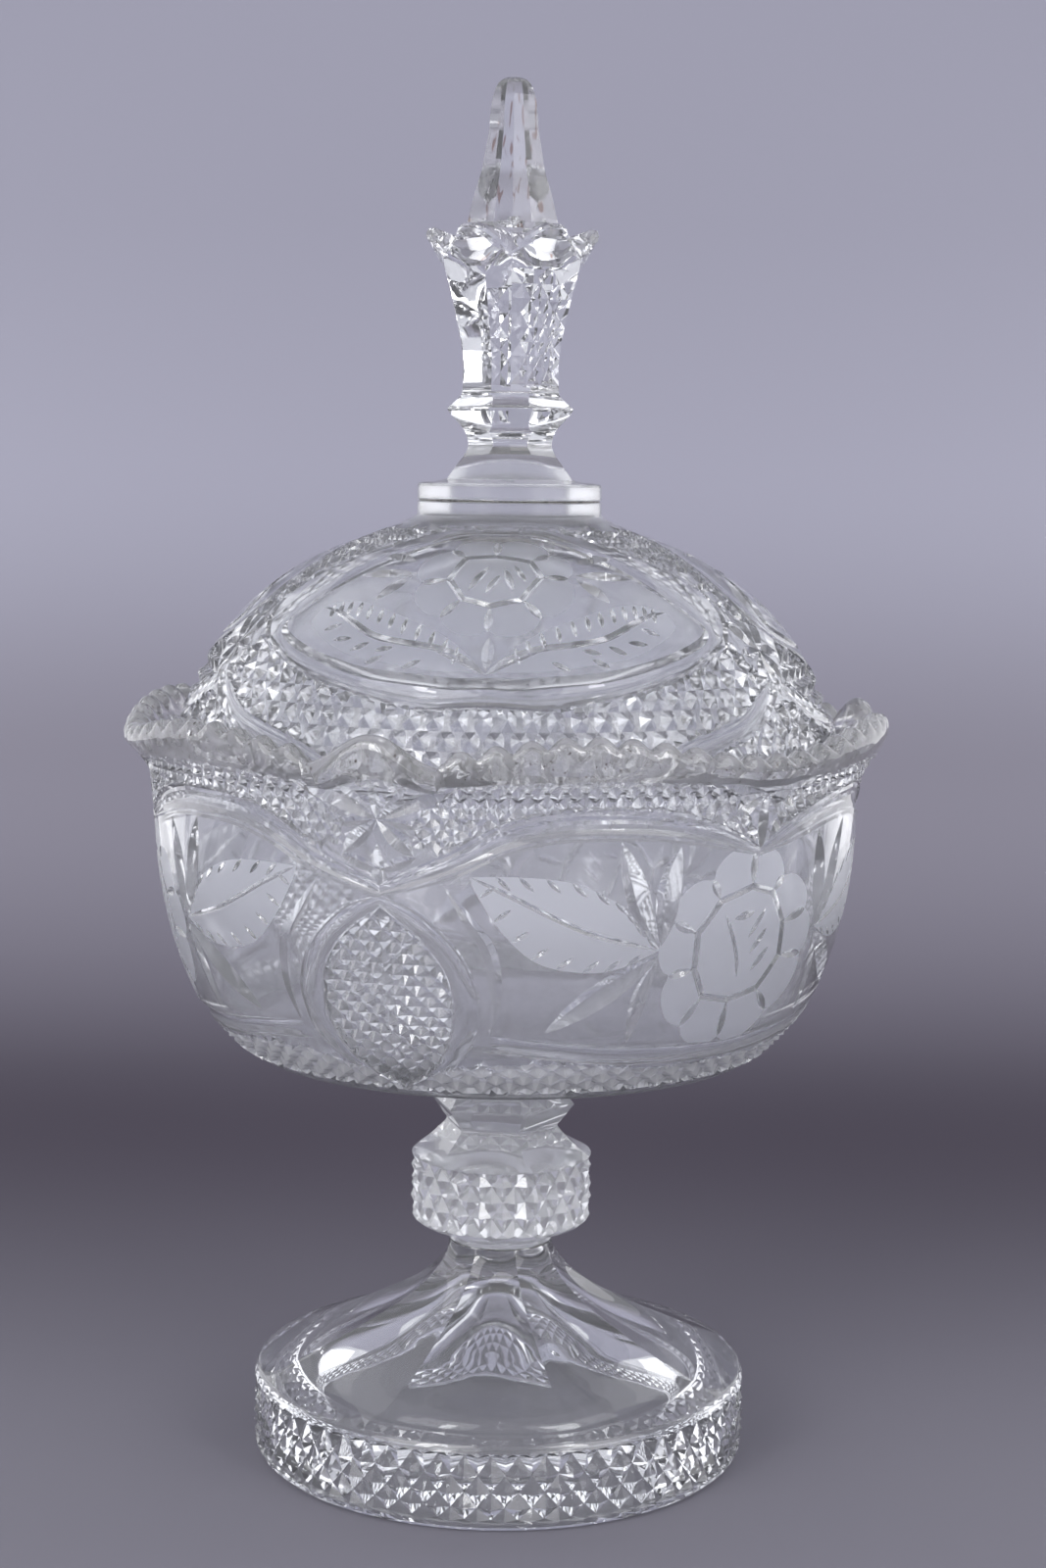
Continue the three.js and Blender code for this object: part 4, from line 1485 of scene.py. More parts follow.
@dataclass
class Bowl(GlassPiece):
    """Round deep bowl: a flared rim of rounded ribs and lobes over a wall of cut and frosted panels."""

    name = "bowl_crystal"
    body = "base"
    node = "bowl"

    teeth: int = 21
    tooth_samples: int = 8
    lobe_samples: int = 32
    lobe_half_angle: float = 10.0
    tooth_depth: float = 3.4
    wave: float = 3.5
    lobe_low: float = -6.0
    lobe_rise: float = 9.0
    rise_heights: Numbers = (229, 233, 237.6, 242.2, 245)
    rise_shares: Numbers = (0, 0.1, 0.35, 0.8, 1)
    inner_rise_heights: Numbers = (236.9, 239.4, 242.2, 245)
    inner_rise_shares: Numbers = (0, 0.3, 0.8, 1)
    # Where the ribs are full, as shares of the way over the crest from the outside.
    rib_places: Numbers = (0.19, 0.3, 0.4, 0.6, 0.76)
    rib_shares: Numbers = (0, 0.7, 1, 1, 0)
    lean: float = 0.35
    least_lowering: float = 0.25
    wall_columns: int = 240
    chart_start: float = 1.0
    chart_top: float = 237.4
    bottom: float = 122.0
    bottom_radius: float = 17.8
    floor_height: float = 131.0
    wall: Points = (
        (84.5, 138.4), (88.7, 140.6), (93.2, 144.7), (98.3, 151.1), (102.5, 158), (107.6, 171),
        (111.1, 184.2), (113.2, 196), (114.3, 209.1), (115.3, 221), (116.2, 229), (118.4, 233.2),
        (121.4, 237.4), (124.2, 242.2),
    )
    crest: Points = (
        (121.4, 237.4), (122.9, 239.6), (124.1, 242.2), (124.1, 244.8), (123, 247), (120.8, 248),
        (118.6, 247.4), (116.8, 245.6), (115.4, 242.6), (113.4, 240.4), (111.2, 238.6), (110.3, 236.9),
    )
    ledge: Points = ((110.2, 236), (106.6, 236))
    inside: Points = (
        (106.5, 235.6), (106.4, 220), (106.2, 196.8), (104.4, 186), (101, 173.4), (96.2, 161.2), (92.5, 155),
        (87.2, 148.3), (76, 143.5), (60, 139.1), (45, 135.4), (30, 132.6), (15, 131.4), (4, 131),
    )
    underside: Points = (
        (18.3, 122.05), (22.4, 122.9), (50, 130.2), (80.5, 136.8), (83.6, 137.6), (84.5, 138.4),
    )

    def rim_angles(self) -> Array:
        """Spreads the rim's columns evenly over each lobe, then evenly over the ribs.

        Returns:
            Their angles.
        """
        lobe = np.arange(self.lobe_samples) / self.lobe_samples * 2 * self.lobe_half_angle
        ribs = np.arange(self.teeth * self.tooth_samples) / (self.teeth * self.tooth_samples)
        ribs = 2 * self.lobe_half_angle + ribs * (SECTOR_ANGLE - 2 * self.lobe_half_angle)
        own = np.concatenate([lobe, ribs]) + FRONT_OVAL_ANGLE - self.lobe_half_angle
        return np.concatenate([own + k * SECTOR_ANGLE for k in range(SECTORS)])

    def rise(self, angle: Array) -> Array:
        """Rise of the rim's crest: minus the cosine of six times the angle, and on a lobe a cosine squared.

        Args:
            angle: angles.

        Returns:
            Heights above the crest's mean.
        """
        own = wrapped(angle - FRONT_OVAL_ANGLE, SECTOR_ANGLE)
        wave = -self.wave * np.cos(np.radians(6 * own))
        bell = np.cos(np.pi / 2 * np.clip(own / self.lobe_half_angle, -1, 1)) ** 2
        lobe = self.lobe_low + self.lobe_rise * bell
        return np.where(np.abs(own) < self.lobe_half_angle - 1e-6, lobe, wave)

    def rib_drop(self, angle: Array) -> Array:
        """Depth between the ribs: one less the size of the sine, which has round tops and sharp valleys.

        Args:
            angle: angles.

        Returns:
            The depths.
        """
        own = np.abs(wrapped(angle - FRONT_OVAL_ANGLE, SECTOR_ANGLE)) - self.lobe_half_angle
        pitch = (SECTOR_ANGLE - 2 * self.lobe_half_angle) / self.teeth
        drop = self.tooth_depth * (1 - np.abs(np.sin(np.pi * own / pitch)))
        return np.where(own < -1e-6, 0.0, drop)

    def lift(self, angle: Array, height: Array) -> Array:
        """How much of the rim's rise reaches each height of the wall."""
        return np.interp(height, self.rise_heights, self.rise_shares) * self.rise(angle)

    def rim(self) -> Patch:
        """Builds the rim, which sinks and leans outwards between its ribs.

        Returns:
            The surface from the top of the cut wall, over the crest, to the ledge inside.
        """
        angles = self.rim_angles()
        line = smooth_line(self.crest, 3)
        across = -normals_of(line)
        along = np.linspace(0, 1, len(line))
        ribbed = np.interp(along, self.rib_places, self.rib_shares)
        outer = np.interp(line[:, 1], self.rise_heights, self.rise_shares)
        inner = np.interp(line[:, 1], self.inner_rise_heights, self.inner_rise_shares)
        shares = np.where(along < 0.5, outer, inner)
        rise, drop = self.rise(angles), self.rib_drop(angles)
        stack = RingStack()
        for (radius, height), (out_r, out_z), rib, share in zip(line, across, ribbed, shares):
            sunk = drop * rib
            leaned = self.lean * sunk * out_r
            lowered = sunk * max(out_z, self.least_lowering)
            ring = polar(angles, radius - leaned, height - lowered + share * rise)
            stack.add(ring, finish=Finish.DUSTY)
        add_profile(stack, angles, np.array(self.ledge))
        return stack.patch()

    def lower_parts(self) -> list[Patch]:
        """Builds the parts with no ornament.

        Returns:
            The inside with its floor, its joint with the rim, and the underside up to the cut wall.
        """
        coarse = even_angles(self.wall_columns // 2, FRONT_OVAL_ANGLE)
        wall = even_angles(self.wall_columns, FRONT_OVAL_ANGLE)
        fine = self.rim_angles()
        inside = RingStack()
        add_profile(inside, coarse, smooth_line(self.inside, 4), Finish.INSIDE)
        inside.close_last(self.floor_height)
        joint = ring_bridge(fine, coarse, self.ledge[-1], self.inside[0])
        under = RingStack()
        low = self.bottom + JOINT_GAP
        under.close_first(low)
        last = Profile(self.wall).at(self.chart_start)
        add_profile(under, wall, np.array([(self.bottom_radius, low), *self.underside, last]))
        return [inside.patch(), joint, under.patch()]

    @cached_property
    def chart(self) -> WallChart:
        """Chart of the outer wall, centred on the rose in front."""
        return WallChart(Profile(self.wall), FRONT_ROSE_ANGLE, True)

    def arches(self) -> list[Cut]:
        """Broad hollow arches that spring from above the ovals and meet over the rose.

        Returns:
            The cuts.
        """
        upper = self.chart.points(
            (-60, 207), (-49.1, 216.2), (-41.6, 224.6), (-34.2, 228.4), (-26.6, 229), (-18.6, 228.1),
            (-9.7, 224), (-1.8, 217.4), (0.4, 215),
        )
        lower = self.chart.points(
            (-60, 203), (-49.1, 210), (-41.6, 216.9), (-34.1, 220.8), (-26.5, 221.3), (-18.4, 220.7),
            (-9.4, 217.7), (-1.6, 214.2), (0.4, 213),
        )
        return [band(upper, lower, 2.0), groove(upper, 1.2, 1.1), groove(lower, 0.8, 0.7)]

    def stars(self) -> list[Cut]:
        """Stars over the oval, and over the point where the arches meet.

        Returns:
            The cuts.
        """
        a, b = -60.0, 0.0
        spot = self.chart.spot
        over_oval = [
            lens(spot(a, 226), spot(a + 12.4, 237.0), 2.9, depth=2.4),
            lens(spot(a, 226), spot(a + 5.6, 215.4), 2.6, depth=2.2, fullest=0.55),
            lens(spot(a, 211), spot(a + 5.8, 215.2), 1.9, depth=1.6),
            lens(spot(a, 219), spot(a, 204), 1.9, depth=1.6, mirrored=False),
            lens(spot(a, 226), spot(a, 236.6), 1.7, depth=1.4, mirrored=False),
            lens(spot(a + 0.4, 225.7), spot(a + 7.4, 224.0), 1.5, depth=1.2),
            lens(spot(a + 1.2, 229.4), spot(a + 5.2, 236.6), 1.5, depth=1.2),
        ]
        over_rose = [
            lens(spot(b, 232.2), spot(b + 10.3, 237.0), 2.1, depth=1.7),
            lens(spot(b, 232.2), spot(b + 7.4, 223.2), 2.2, depth=1.8, fullest=0.55),
            lens(spot(b, 232), spot(b, 214.5), 2.2, depth=1.8, mirrored=False),
            lens(spot(b, 232.2), spot(b + 9.4, 231.0), 1.6, depth=1.3),
        ]
        return over_oval + over_rose

    def leaf_cuts(self) -> tuple[list[Cut], list[FrostedArea]]:
        """Frosted leaf with its midrib and notches, and the clear lens cuts round it.

        Returns:
            The cuts and the frosted area.
        """
        upper = self.chart.points(
            (-46.4, 210.2), (-40, 210.4), (-32, 208.8), (-25.3, 203.1), (-21.8, 195.7), (-17.5, 187.3)
        )
        lower = self.chart.points(
            (-46.4, 210.2), (-45.3, 204.8), (-41.4, 193.3), (-36.3, 184.6), (-29.4, 181.5), (-23.7, 182.3),
            (-17.5, 187.3),
        )
        rib = self.chart.points((-46.4, 210.2), (-40, 204.2), (-33.8, 198), (-27.4, 192.6), (-17.5, 187.3))
        cuts = [groove(rib, 0.8, 0.6)]
        cuts += notches(upper, 9, (0.12, 0.9), (4.6, -4.4), 0.75)
        cuts += notches(lower, 8, (0.18, 0.86), (5.0, 3.6), 0.75)
        up1 = self.chart.points((-24.5, 220.4), (-22.5, 210), (-20.4, 198), (-17.4, 188.5))
        up2 = self.chart.points((-14.9, 218.2), (-16.3, 207.5), (-16.8, 197.5), (-17.2, 188.6))
        low1 = self.chart.points((-34.7, 162.6), (-29.2, 170.4), (-23.4, 178), (-17.4, 185.6))
        low2 = self.chart.points((-20.6, 158.4), (-20.2, 167), (-19.4, 175.5), (-17.4, 184.8))
        cuts += [blade(up1, 3.7, 2.6), blade(up2, 4.0, 2.8), blade(low1, 4.2, 2.9), blade(low2, 2.6, 1.9)]
        return cuts, [FrostedArea(leaf_outline(upper, lower))]

    def rose(self) -> tuple[list[Cut], list[FrostedArea]]:
        """Frosted rose: a ten-sided heart with curved cuts, and ten petals parted by mitres.

        Returns:
            The cuts and the frosted area.
        """
        heart = self.chart.arc_points(
            (-2, 204.1), (7, 201.6), (13.6, 191.4), (15.1, 180.9), (7.4, 171.4), (-5, 169.2), (-16.1, 171.3),
            (-21.1, 180.5), (-21.6, 191.5), (-14.1, 200.8),
        )
        ends = self.chart.arc_points(
            (-2.2, 214.9), (12, 206.2), (26, 194.3), (28.1, 179.8), (16.7, 162.7), (-3.8, 156.4),
            (-22.3, 162.1), (-30.2, 178.8), (-30.3, 195.4), (-17.6, 207.5),
        )
        curve = self.chart.arc_points((-11.7, 196.3), (-5.6, 183.9), (-3.3, 176.1))
        cuts = [*rose_cuts(heart, ends), groove(curve, 0.7, 0.5, mirrored=False)]
        for start, end, width in (
            ((-8.3, 194.7), (0, 196.3), 1.3), ((4.6, 197), (-1.6, 188.3), 1.0),
            ((6.1, 190.7), (0.2, 183.2), 1.1), ((8.6, 184.4), (2.2, 177.6), 1.1),
        ):
            cuts.append(lens(*self.chart.arc_points(start, end), width, mirrored=False))
        return cuts, [FrostedArea(petals(heart.mean(0), ends), mirrored=False)]

    def ovals(self) -> tuple[list[Cut], list[DiamondField]]:
        """Upright pointed oval of diamonds, in two hollow crescents.

        Returns:
            The cuts and the diamonds.
        """
        a = -60.0
        half = ((0, 200.3), (6.2, 190.5), (9.9, 180), (10.8, 168), (9.5, 157.5), (6, 148), (0, 141.5))
        outer = ((0, 203.6), (5.8, 199), (11.8, 187.6), (14.6, 175), (14.7, 166), (13.8, 159.5), (10, 149.5))
        side = smooth_line(self.chart.points(*[(a + w, z) for w, z in half]), 4)
        outside = self.chart.points(*[(a + w, z) for w, z in outer])
        matching = self.chart.points(*[(a + w + 0.3, z) for w, z in half[:-1]], (a + 3, 144.0))
        far = self.chart.points(
            (a + 9.7, 208.0), (a + 13.5, 197), (a + 16.5, 187.8), (a + 17.6, 173.6), (a + 16.6, 161.5)
        )
        cuts = [
            band(outside, matching, 1.1), groove(outside, 0.6, 0.45),
            blade(far, 2.2, 1.1), groove(side, 0.6, 0.5),
        ]
        area = DiamondField(side, 60 / 35, 3.4, self.chart.profile.place_at(170.0), 2.0)
        return cuts, [area]

    def borders(self) -> tuple[list[Cut], list[DiamondField]]:
        """Diamonds between the arches and the rim, and the curved band above the bottom edge.

        Returns:
            The cuts and the diamonds.
        """
        top = self.chart.points(
            (1.4, 217.6), (1.8, 218.5), (5.5, 222), (9.7, 225.2), (14, 227.8), (18.6, 229.2), (26.6, 230),
            (34.2, 229.5), (41.6, 225.7), (46, 221.5), (50, 217.8), (53, 218.5), (54.2, 221.5), (54.6, 225.5),
            (51.5, 230.5), (47.8, 236.2), (40, 236.4), (30, 236.5), (20, 236.4), (11.6, 236.3), (6.6, 233.6),
            (5.0, 230.6), (2.4, 224),
        )
        fields = [DiamondField(top, 60 / 44, 3.2, self.chart.profile.place_at(233.1), 1.6)]
        upper = self.chart.points((-41.5, 161.3), (-32.6, 159.1), (-21.6, 156.8), (-1.9, 155), (1, 155))
        lower = self.chart.points((-41.5, 155.6), (-32.3, 153.6), (-20.7, 151.1), (-1.9, 149.6), (1, 149.6))
        foot_row = self.chart.points(
            (0, 140.6), (59.9, 140.6), (59.9, 141.4), (54, 146.6), (49, 149.3), (42, 151.6), (32, 151.4),
            (21, 149.2), (10, 147.8), (0, 147.6),
        )
        low = self.chart.profile.place_at(144.2)
        fields.append(DiamondField(foot_row, 60 / 24, 3.6, low, 1.5, finish=Finish.WORN))
        cuts = [band(upper, lower, 1.0), groove(upper, 0.6, 0.45), groove(lower, 0.6, 0.45)]
        return cuts, fields

    def cut_wall(self) -> Patch:
        """Outer wall with all its ornament.

        Returns:
            Its surface.
        """
        surface = CutSurface(
            self.chart, even_angles(self.wall_columns, FRONT_OVAL_ANGLE), self.rim_angles(), self.chart_start,
            self.chart.profile.place_at(self.chart_top), lift=self.lift,
        )
        surface.cuts += self.arches() + self.stars()
        for cuts, frosted in (self.leaf_cuts(), self.rose()):
            surface.cuts += cuts
            surface.frosted += frosted
        for cuts, fields in (self.ovals(), self.borders()):
            surface.cuts += cuts
            surface.fields += fields
        return surface.patch()

    def patches(self) -> list[Patch]:
        """Inside and underside, cut wall, and rim."""
        return self.lower_parts() + [self.cut_wall(), self.rim()]


def blade(points: Points | Array, half_width: float, depth: float) -> Cut:
    """Mitre cut along a curve, whose width rises and falls with the 0.8th power of a sine.

    Args:
        points: points that it passes through.
        half_width: half of its greatest width.
        depth: its greatest depth.

    Returns:
        The cut.
    """
    line = resample(smooth_line(points), BLADE_STEP)
    t = np.linspace(0, 1, len(line))
    widths = half_width * np.sin(np.pi * t) ** 0.8
    widths[[0, -1]] = 0
    return Cut(line, widths, depth)


def notches(line: Array, count: int, between: tuple[float, float], step: tuple[float, float],
            half_width: float, depth: float = 0.6) -> list[Cut]:
    """Row of short cuts that start on a line.

    Args:
        line: points of the line.
        count: number of cuts.
        between: first and last place along the line, as shares.
        step: from the start to the end of each cut.
        half_width: half of their width.
        depth: their greatest depth.

    Returns:
        The cuts.
    """
    smooth = smooth_line(line)
    numbers = np.linspace(0, 1, len(smooth))
    made = []
    for share in np.linspace(*between, count):
        start = np.array([np.interp(share, numbers, smooth[:, k]) for k in (0, 1)])
        made.append(lens(start, start + np.array(step), half_width, depth=depth))
    return made


def rose_cuts(heart: Array, ends: Array) -> list[Cut]:
    """Straight grooves round a rose's heart, and the mitres that part its petals.

    Args:
        heart: corners of the heart, clockwise.
        ends: outer end of the mitre from each corner.

    Returns:
        The cuts.
    """
    sides = zip(heart, np.roll(heart, -1, axis=0))
    cuts = [groove(np.array(side), 1.1, 0.8, mirrored=False, closed=True) for side in sides]
    return cuts + [lens(*mitre, 1.5, mirrored=False, depth=0.9, fullest=0.6) for mitre in zip(heart, ends)]


def petals(centre: Array, ends: Array, radius: float | None = None) -> Array:
    """Scalloped outline of a rose, which bulges between the ends of its mitres.

    Its distance from the centre is the base line plus 3.6 mm times the 0.6th power of the sine. The
    base line passes evenly from 0.98 of one end's distance to that of the next.

    Args:
        centre: middle of the rose.
        ends: outer ends of its mitres, clockwise.
        radius: base line, where it is a circle.

    Returns:
        The outline.
    """
    t = np.linspace(0, 1, 8, endpoint=False)
    corners = []
    for start, end in zip(ends - centre, np.roll(ends, -1, axis=0) - centre):
        first, last = math.atan2(start[1], start[0]), math.atan2(end[1], end[0])
        last = last if last < first else last - 2 * math.pi
        base = radius or (np.hypot(*start) * (1 - t) + np.hypot(*end) * t) * 0.98
        reach = base + 3.6 * np.sin(np.pi * t) ** 0.6
        turn = first + (last - first) * t
        corners.append(centre + np.stack([reach * np.cos(turn), reach * np.sin(turn)], 1))
    return np.vstack(corners)


def ring_bridge(low_angles: Array, high_angles: Array, low: Point, high: Point) -> Patch:
    """Narrow strip between two rings whose points stand at unlike angles.

    Each step moves along whichever ring is behind.

    Args:
        low_angles: rising angles of the first ring.
        high_angles: rising angles of the second ring.
        low: radius and height of the first ring.
        high: radius and height of the second ring.

    Returns:
        The strip.
    """
    start = low_angles[0]
    first = np.sort((low_angles - start) % 360)
    second = np.sort((high_angles - start) % 360)
    marks = np.concatenate([first, second])
    kinds = np.concatenate([np.zeros(len(first), int), np.ones(len(second), int)])
    order = np.lexsort((kinds, marks))
    kinds = kinds[order]
    a = np.cumsum(kinds == 0) - 1
    b = np.cumsum(kinds == 1) - 1
    a_count, b_count = len(first), len(second)
    next_a, next_b = np.roll(a, -1), np.roll(b, -1)
    moved_a = np.roll(kinds, -1) == 0
    low_now, high_now = a % a_count, b % b_count + a_count
    low_next, high_next = next_a % a_count, next_b % b_count + a_count
    third = np.where(moved_a, low_next, high_next)
    triangles = np.stack([low_now, third, high_now], 1)
    points = np.vstack([polar(first + start, *low), polar(second + start, *high)])
    return Patch(points, triangles, np.zeros(len(triangles), int))


@dataclass
class Lid(GlassPiece):
    """Hollow domed lid: three cut and frosted medallions, diamonds between, and a flat boss on top."""

    name = "lid_crystal"
    body = "lid"
    node = "lid"

    columns: int = 240
    top_columns: int = 120
    chart_start: float = 0.6
    hollow_height: float = 300.4
    boss_top: float = 315.6 - JOINT_GAP
    dome: Points = (
        (109.4, 236.6), (108.7, 240), (106.9, 245), (104.4, 250.9), (101.3, 258.2), (97.1, 265.8),
        (92.1, 273), (85.7, 280.3), (77.8, 287.6), (68.2, 294.2), (57.1, 300), (44.6, 304.8), (37.5, 307.4),
        (33.6, 309),
    )
    hollow: Points = (
        (4, 300.3), (19.7, 299.4), (36.1, 296.8), (52, 291.8), (65.1, 285.4), (76, 277.6), (85, 269),
        (92, 259.6), (97, 250), (100.4, 242), (102.4, 236.4), (102.7, 236),
    )
    bottom_ring: Points = ((103, 236), (109, 236), (109.35, 236.3))
    boss: Points = ((31.2, 310.2), (30.2, 310.9), (29.8, 311.6), (29.8, 315.2))
    boss_top_radius: float = 29.5
    # Distances from the middle of the flat drawing.
    star_place: float = 105.0
    boss_cut_places: tuple[float, float] = (35.0, 43.0)

    @cached_property
    def chart(self) -> DomeChart:
        """Chart of the dome, centred on the medallion in front."""
        return DomeChart(Profile(self.dome), FRONT_MEDALLION_ANGLE, False)

    def medallion(self) -> tuple[list[Cut], list[FrostedArea]]:
        """Double polished border round a frosted rose with two frosted leaves and clear lens cuts.

        Returns:
            The cuts and the frosted areas.
        """
        outer = mirror_round((
            (0, 120.5), (22, 119.4), (38, 112.5), (53, 102.5), (66.8, 88), (75, 72), (77.6, 62), (73, 50),
            (58, 43), (36, 40), (20, 34.6), (0, 36.5),
        ))
        inner = mirror_round((
            (0, 112), (15, 111), (39, 103), (57, 89), (68, 73), (68, 64), (53, 62), (33, 55), (20, 48.3),
            (11.7, 44.8), (0, 44.4),
        ))
        crescent = mirror_round((
            (0, 115.8), (15.5, 114.9), (40, 106.4), (58.6, 91.6), (70.4, 74.2), (70, 64), (54, 60.2),
            (33.5, 53.2), (20.6, 46.6), (12, 43.2), (0, 42.8),
        ))
        cuts = [
            band(outer, crescent, 1.2, mirrored=False), groove(outer, 1.1, 1.0, mirrored=False, closed=True),
            band(crescent, inner, 2.9, mirrored=False, shape=CutShape.MITRE),
        ]
        rib = np.array([
            (0, 110.8), (7.7, 105.3), (15, 101.4), (29.4, 95.9), (39.7, 89.2), (50.4, 74.6), (55.9, 68.8),
        ])
        upper = np.array([(0, 110.8), (12, 98.5), (29.6, 85), (44, 73), (56, 68.5)])
        lower = np.array([(0, 110.8), (22, 107.4), (47.3, 94.5), (60, 75), (56, 68.5)])
        cuts += [groove(rib, 1.1, 1.1), lens((0, 111.2), (19, 100.4), 1.6, bend=-0.8, depth=1.3)]
        cuts += notches(upper, 12, (0.2, 0.9), (2.0, 6.2), 0.95, depth=1.0)
        for start, end in (
            ((52.4, 86.2), (45.6, 88.9)), ((38, 96.8), (31, 97.6)), ((41.4, 100.4), (34.8, 99.8)),
            ((28.6, 105.9), (21.6, 104.4)), ((46.4, 93.5), (39.4, 93.2)), ((55.6, 80.3), (48.8, 81.2)),
        ):
            cuts.append(lens(start, end, 0.95, depth=0.9))
        cuts.append(lens((0.8, 97.8), (0.2, 110), 2.1, mirrored=False, depth=1.2))
        frosted = [FrostedArea(leaf_outline(upper, lower))]
        for start, end, width in (
            ((25.6, 67.3), (37.7, 75.5), 2.2), ((25.6, 66), (43, 59), 2.4), ((25, 59), (36, 47.6), 2.0),
        ):
            cuts.append(lens(start, end, width, depth=0.85 * width))
        petal_cuts, petal_frost = self.rose()
        return cuts + petal_cuts, frosted + petal_frost

    def rose(self) -> tuple[list[Cut], list[FrostedArea]]:
        """Frosted rose with an eight-sided heart and eight petals parted by mitres.

        Returns:
            The cuts and the frosted area.
        """
        centre = np.array([0.5, 72.5])
        heart = np.array([
            (-13.7, 72.3), (-9, 82.2), (0.1, 85.6), (10, 82), (15, 70), (11, 61.8), (0.3, 59.6), (-9.1, 60.2)
        ])
        away = heart - centre
        ends = centre + away / np.hypot(*away.T)[:, None] * 23.5
        cuts = rose_cuts(heart, ends)
        for start, end, width in (
            ((-7.5, 78.5), (-1.5, 66), 1.3), ((-1.8, 79.8), (2.2, 70.5), 1.2),
            ((6.8, 78.4), (3.4, 66.8), 1.3), ((10.6, 73.6), (6.2, 64.6), 1.0),
        ):
            cuts.append(lens(start, end, width, mirrored=False, depth=0.8))
        return cuts, [FrostedArea(petals(centre, ends, 22.6), mirrored=False)]

    def arches(self) -> list[Cut]:
        """Second hollow band that runs below each medallion and dips behind the bowl's rim.

        Returns:
            The cuts.
        """
        upper = self.chart.points(
            (56, 262), (51.6, 257.5), (47, 253.1), (41, 250), (35.1, 247.3), (26.8, 241.8), (20, 238.6)
        )
        lower = self.chart.points(
            (59.6, 259.5), (54.5, 253.6), (49, 249.2), (43, 246.2), (37, 243.2), (29.5, 238.8), (25, 237.4)
        )
        return [band(upper, lower, 1.2), groove(upper, 0.7, 0.5)]

    def stars(self) -> list[Cut]:
        """Star between two medallions, drawn as the half on one side of its axis.

        Returns:
            The cuts.
        """
        made = []
        turn = math.radians(SECTOR_ANGLE / 2)
        along = np.array([math.sin(turn), math.cos(turn)])
        across = np.array([-math.cos(turn), math.sin(turn)])
        centre = along * self.star_place
        for angle, reach, width in ((38, 16, 2.6), (90, 12, 2.2), (142, 17, 2.6)):
            a = math.radians(angle)
            end = centre - along * reach * math.cos(a) + across * reach * math.sin(a)
            made.append(lens(centre, end, width, depth=0.8 * width, fullest=0.55))
        for reach in (19, -16):
            made.append(lens(centre, centre - along * reach, 2.6, depth=2.0, fullest=0.55))
        return made

    def boss_cuts(self) -> list[Cut]:
        """Short mitres that point at the boss, one every twenty degrees.

        Returns:
            The cuts.
        """
        made = []
        for angle in range(10, 60, 20):
            a = math.radians(angle)
            way = np.array([math.sin(a), math.cos(a)])
            made.append(lens(*(way * place for place in self.boss_cut_places), 1.8, depth=1.0))
        return made

    def fields(self) -> list[DiamondField]:
        """Diamonds below each medallion, and between two of them up to the boss.

        Returns:
            The diamonds.
        """
        crescent = np.vstack([
            np.array([
                (0, 122.2), (22, 121.1), (39, 114.2), (54.5, 104), (68.5, 89.2), (76.8, 73), (79.6, 64),
            ]),
            self.chart.points(
                (56.5, 262), (51.6, 258.6), (47, 254.2), (41, 251), (35.1, 248.3), (26.8, 242.8), (20, 239.6),
                (15, 237.6), (0, 237.6),
            ),
        ])
        between = np.array([
            (80.5, 46.6), (79.5, 53), (74.8, 48.9), (60, 41.6), (38, 38.6), (23, 33.6), (30.5, 24.6),
            (35.6, 20.6), (62.4, 36),
        ])
        first = self.chart.profile.place_at(248.6)
        low = self.chart.points(
            (59.9, 237.5), (59.9, 256), (58.4, 256.6), (54.5, 252.2), (49, 247.8), (43, 244.8), (37, 241.8),
            (31.4, 238.4),
        )
        return [
            DiamondField(crescent, 2.0, 6.2, first, 2.2),
            DiamondField(between, 2.0, 4.6, first, 1.6),
            DiamondField(low, 2.0, 4.6, first, 1.6),
        ]

    def cut_dome(self) -> Patch:
        """Outside of the dome with all its ornament.

        Returns:
            Its surface.
        """
        surface = CutSurface(
            self.chart, even_angles(self.columns, FRONT_MEDALLION_ANGLE),
            even_angles(self.top_columns, FRONT_MEDALLION_ANGLE), self.chart_start, self.chart.profile.length,
        )
        cuts, frosted = self.medallion()
        surface.cuts += cuts + self.arches() + self.stars() + self.boss_cuts()
        surface.frosted += frosted
        surface.fields += self.fields()
        return surface.patch()

    def other_parts(self) -> list[Patch]:
        """Builds the parts with no ornament.

        Returns:
            The hollow and bottom ring up to the cut dome, and the boss above it.
        """
        fine = even_angles(self.columns, FRONT_MEDALLION_ANGLE)
        coarse = even_angles(self.top_columns, FRONT_MEDALLION_ANGLE)
        profile = Profile(self.dome)
        below = RingStack()
        below.close_first(self.hollow_height)
        add_profile(below, coarse, smooth_line(self.hollow, 4), Finish.INSIDE)
        add_profile(below, fine, np.array([*self.bottom_ring, profile.at(self.chart_start)]))
        above = RingStack()
        add_profile(above, coarse, np.array([profile.at(profile.length)]))
        add_profile(above, coarse, np.array([*self.boss, (self.boss_top_radius, self.boss_top)]), Finish.WORN)
        above.close_last(self.boss_top)
        return [below.patch(), above.patch()]

    def patches(self) -> list[Patch]:
        """Hollow, boss and cut dome."""
        return self.other_parts() + [self.cut_dome()]


def mirror_round(points: Points) -> Array:
    """Closed line that is alike on both sides of an upright axis.

    Args:
        points: points on its right side, first and last on the axis.

    Returns:
        All its points.
    """
    half = np.array(points, float)
    other = half[::-1][1:] * (-1, 1)
    return np.vstack([half, other])


# Stage


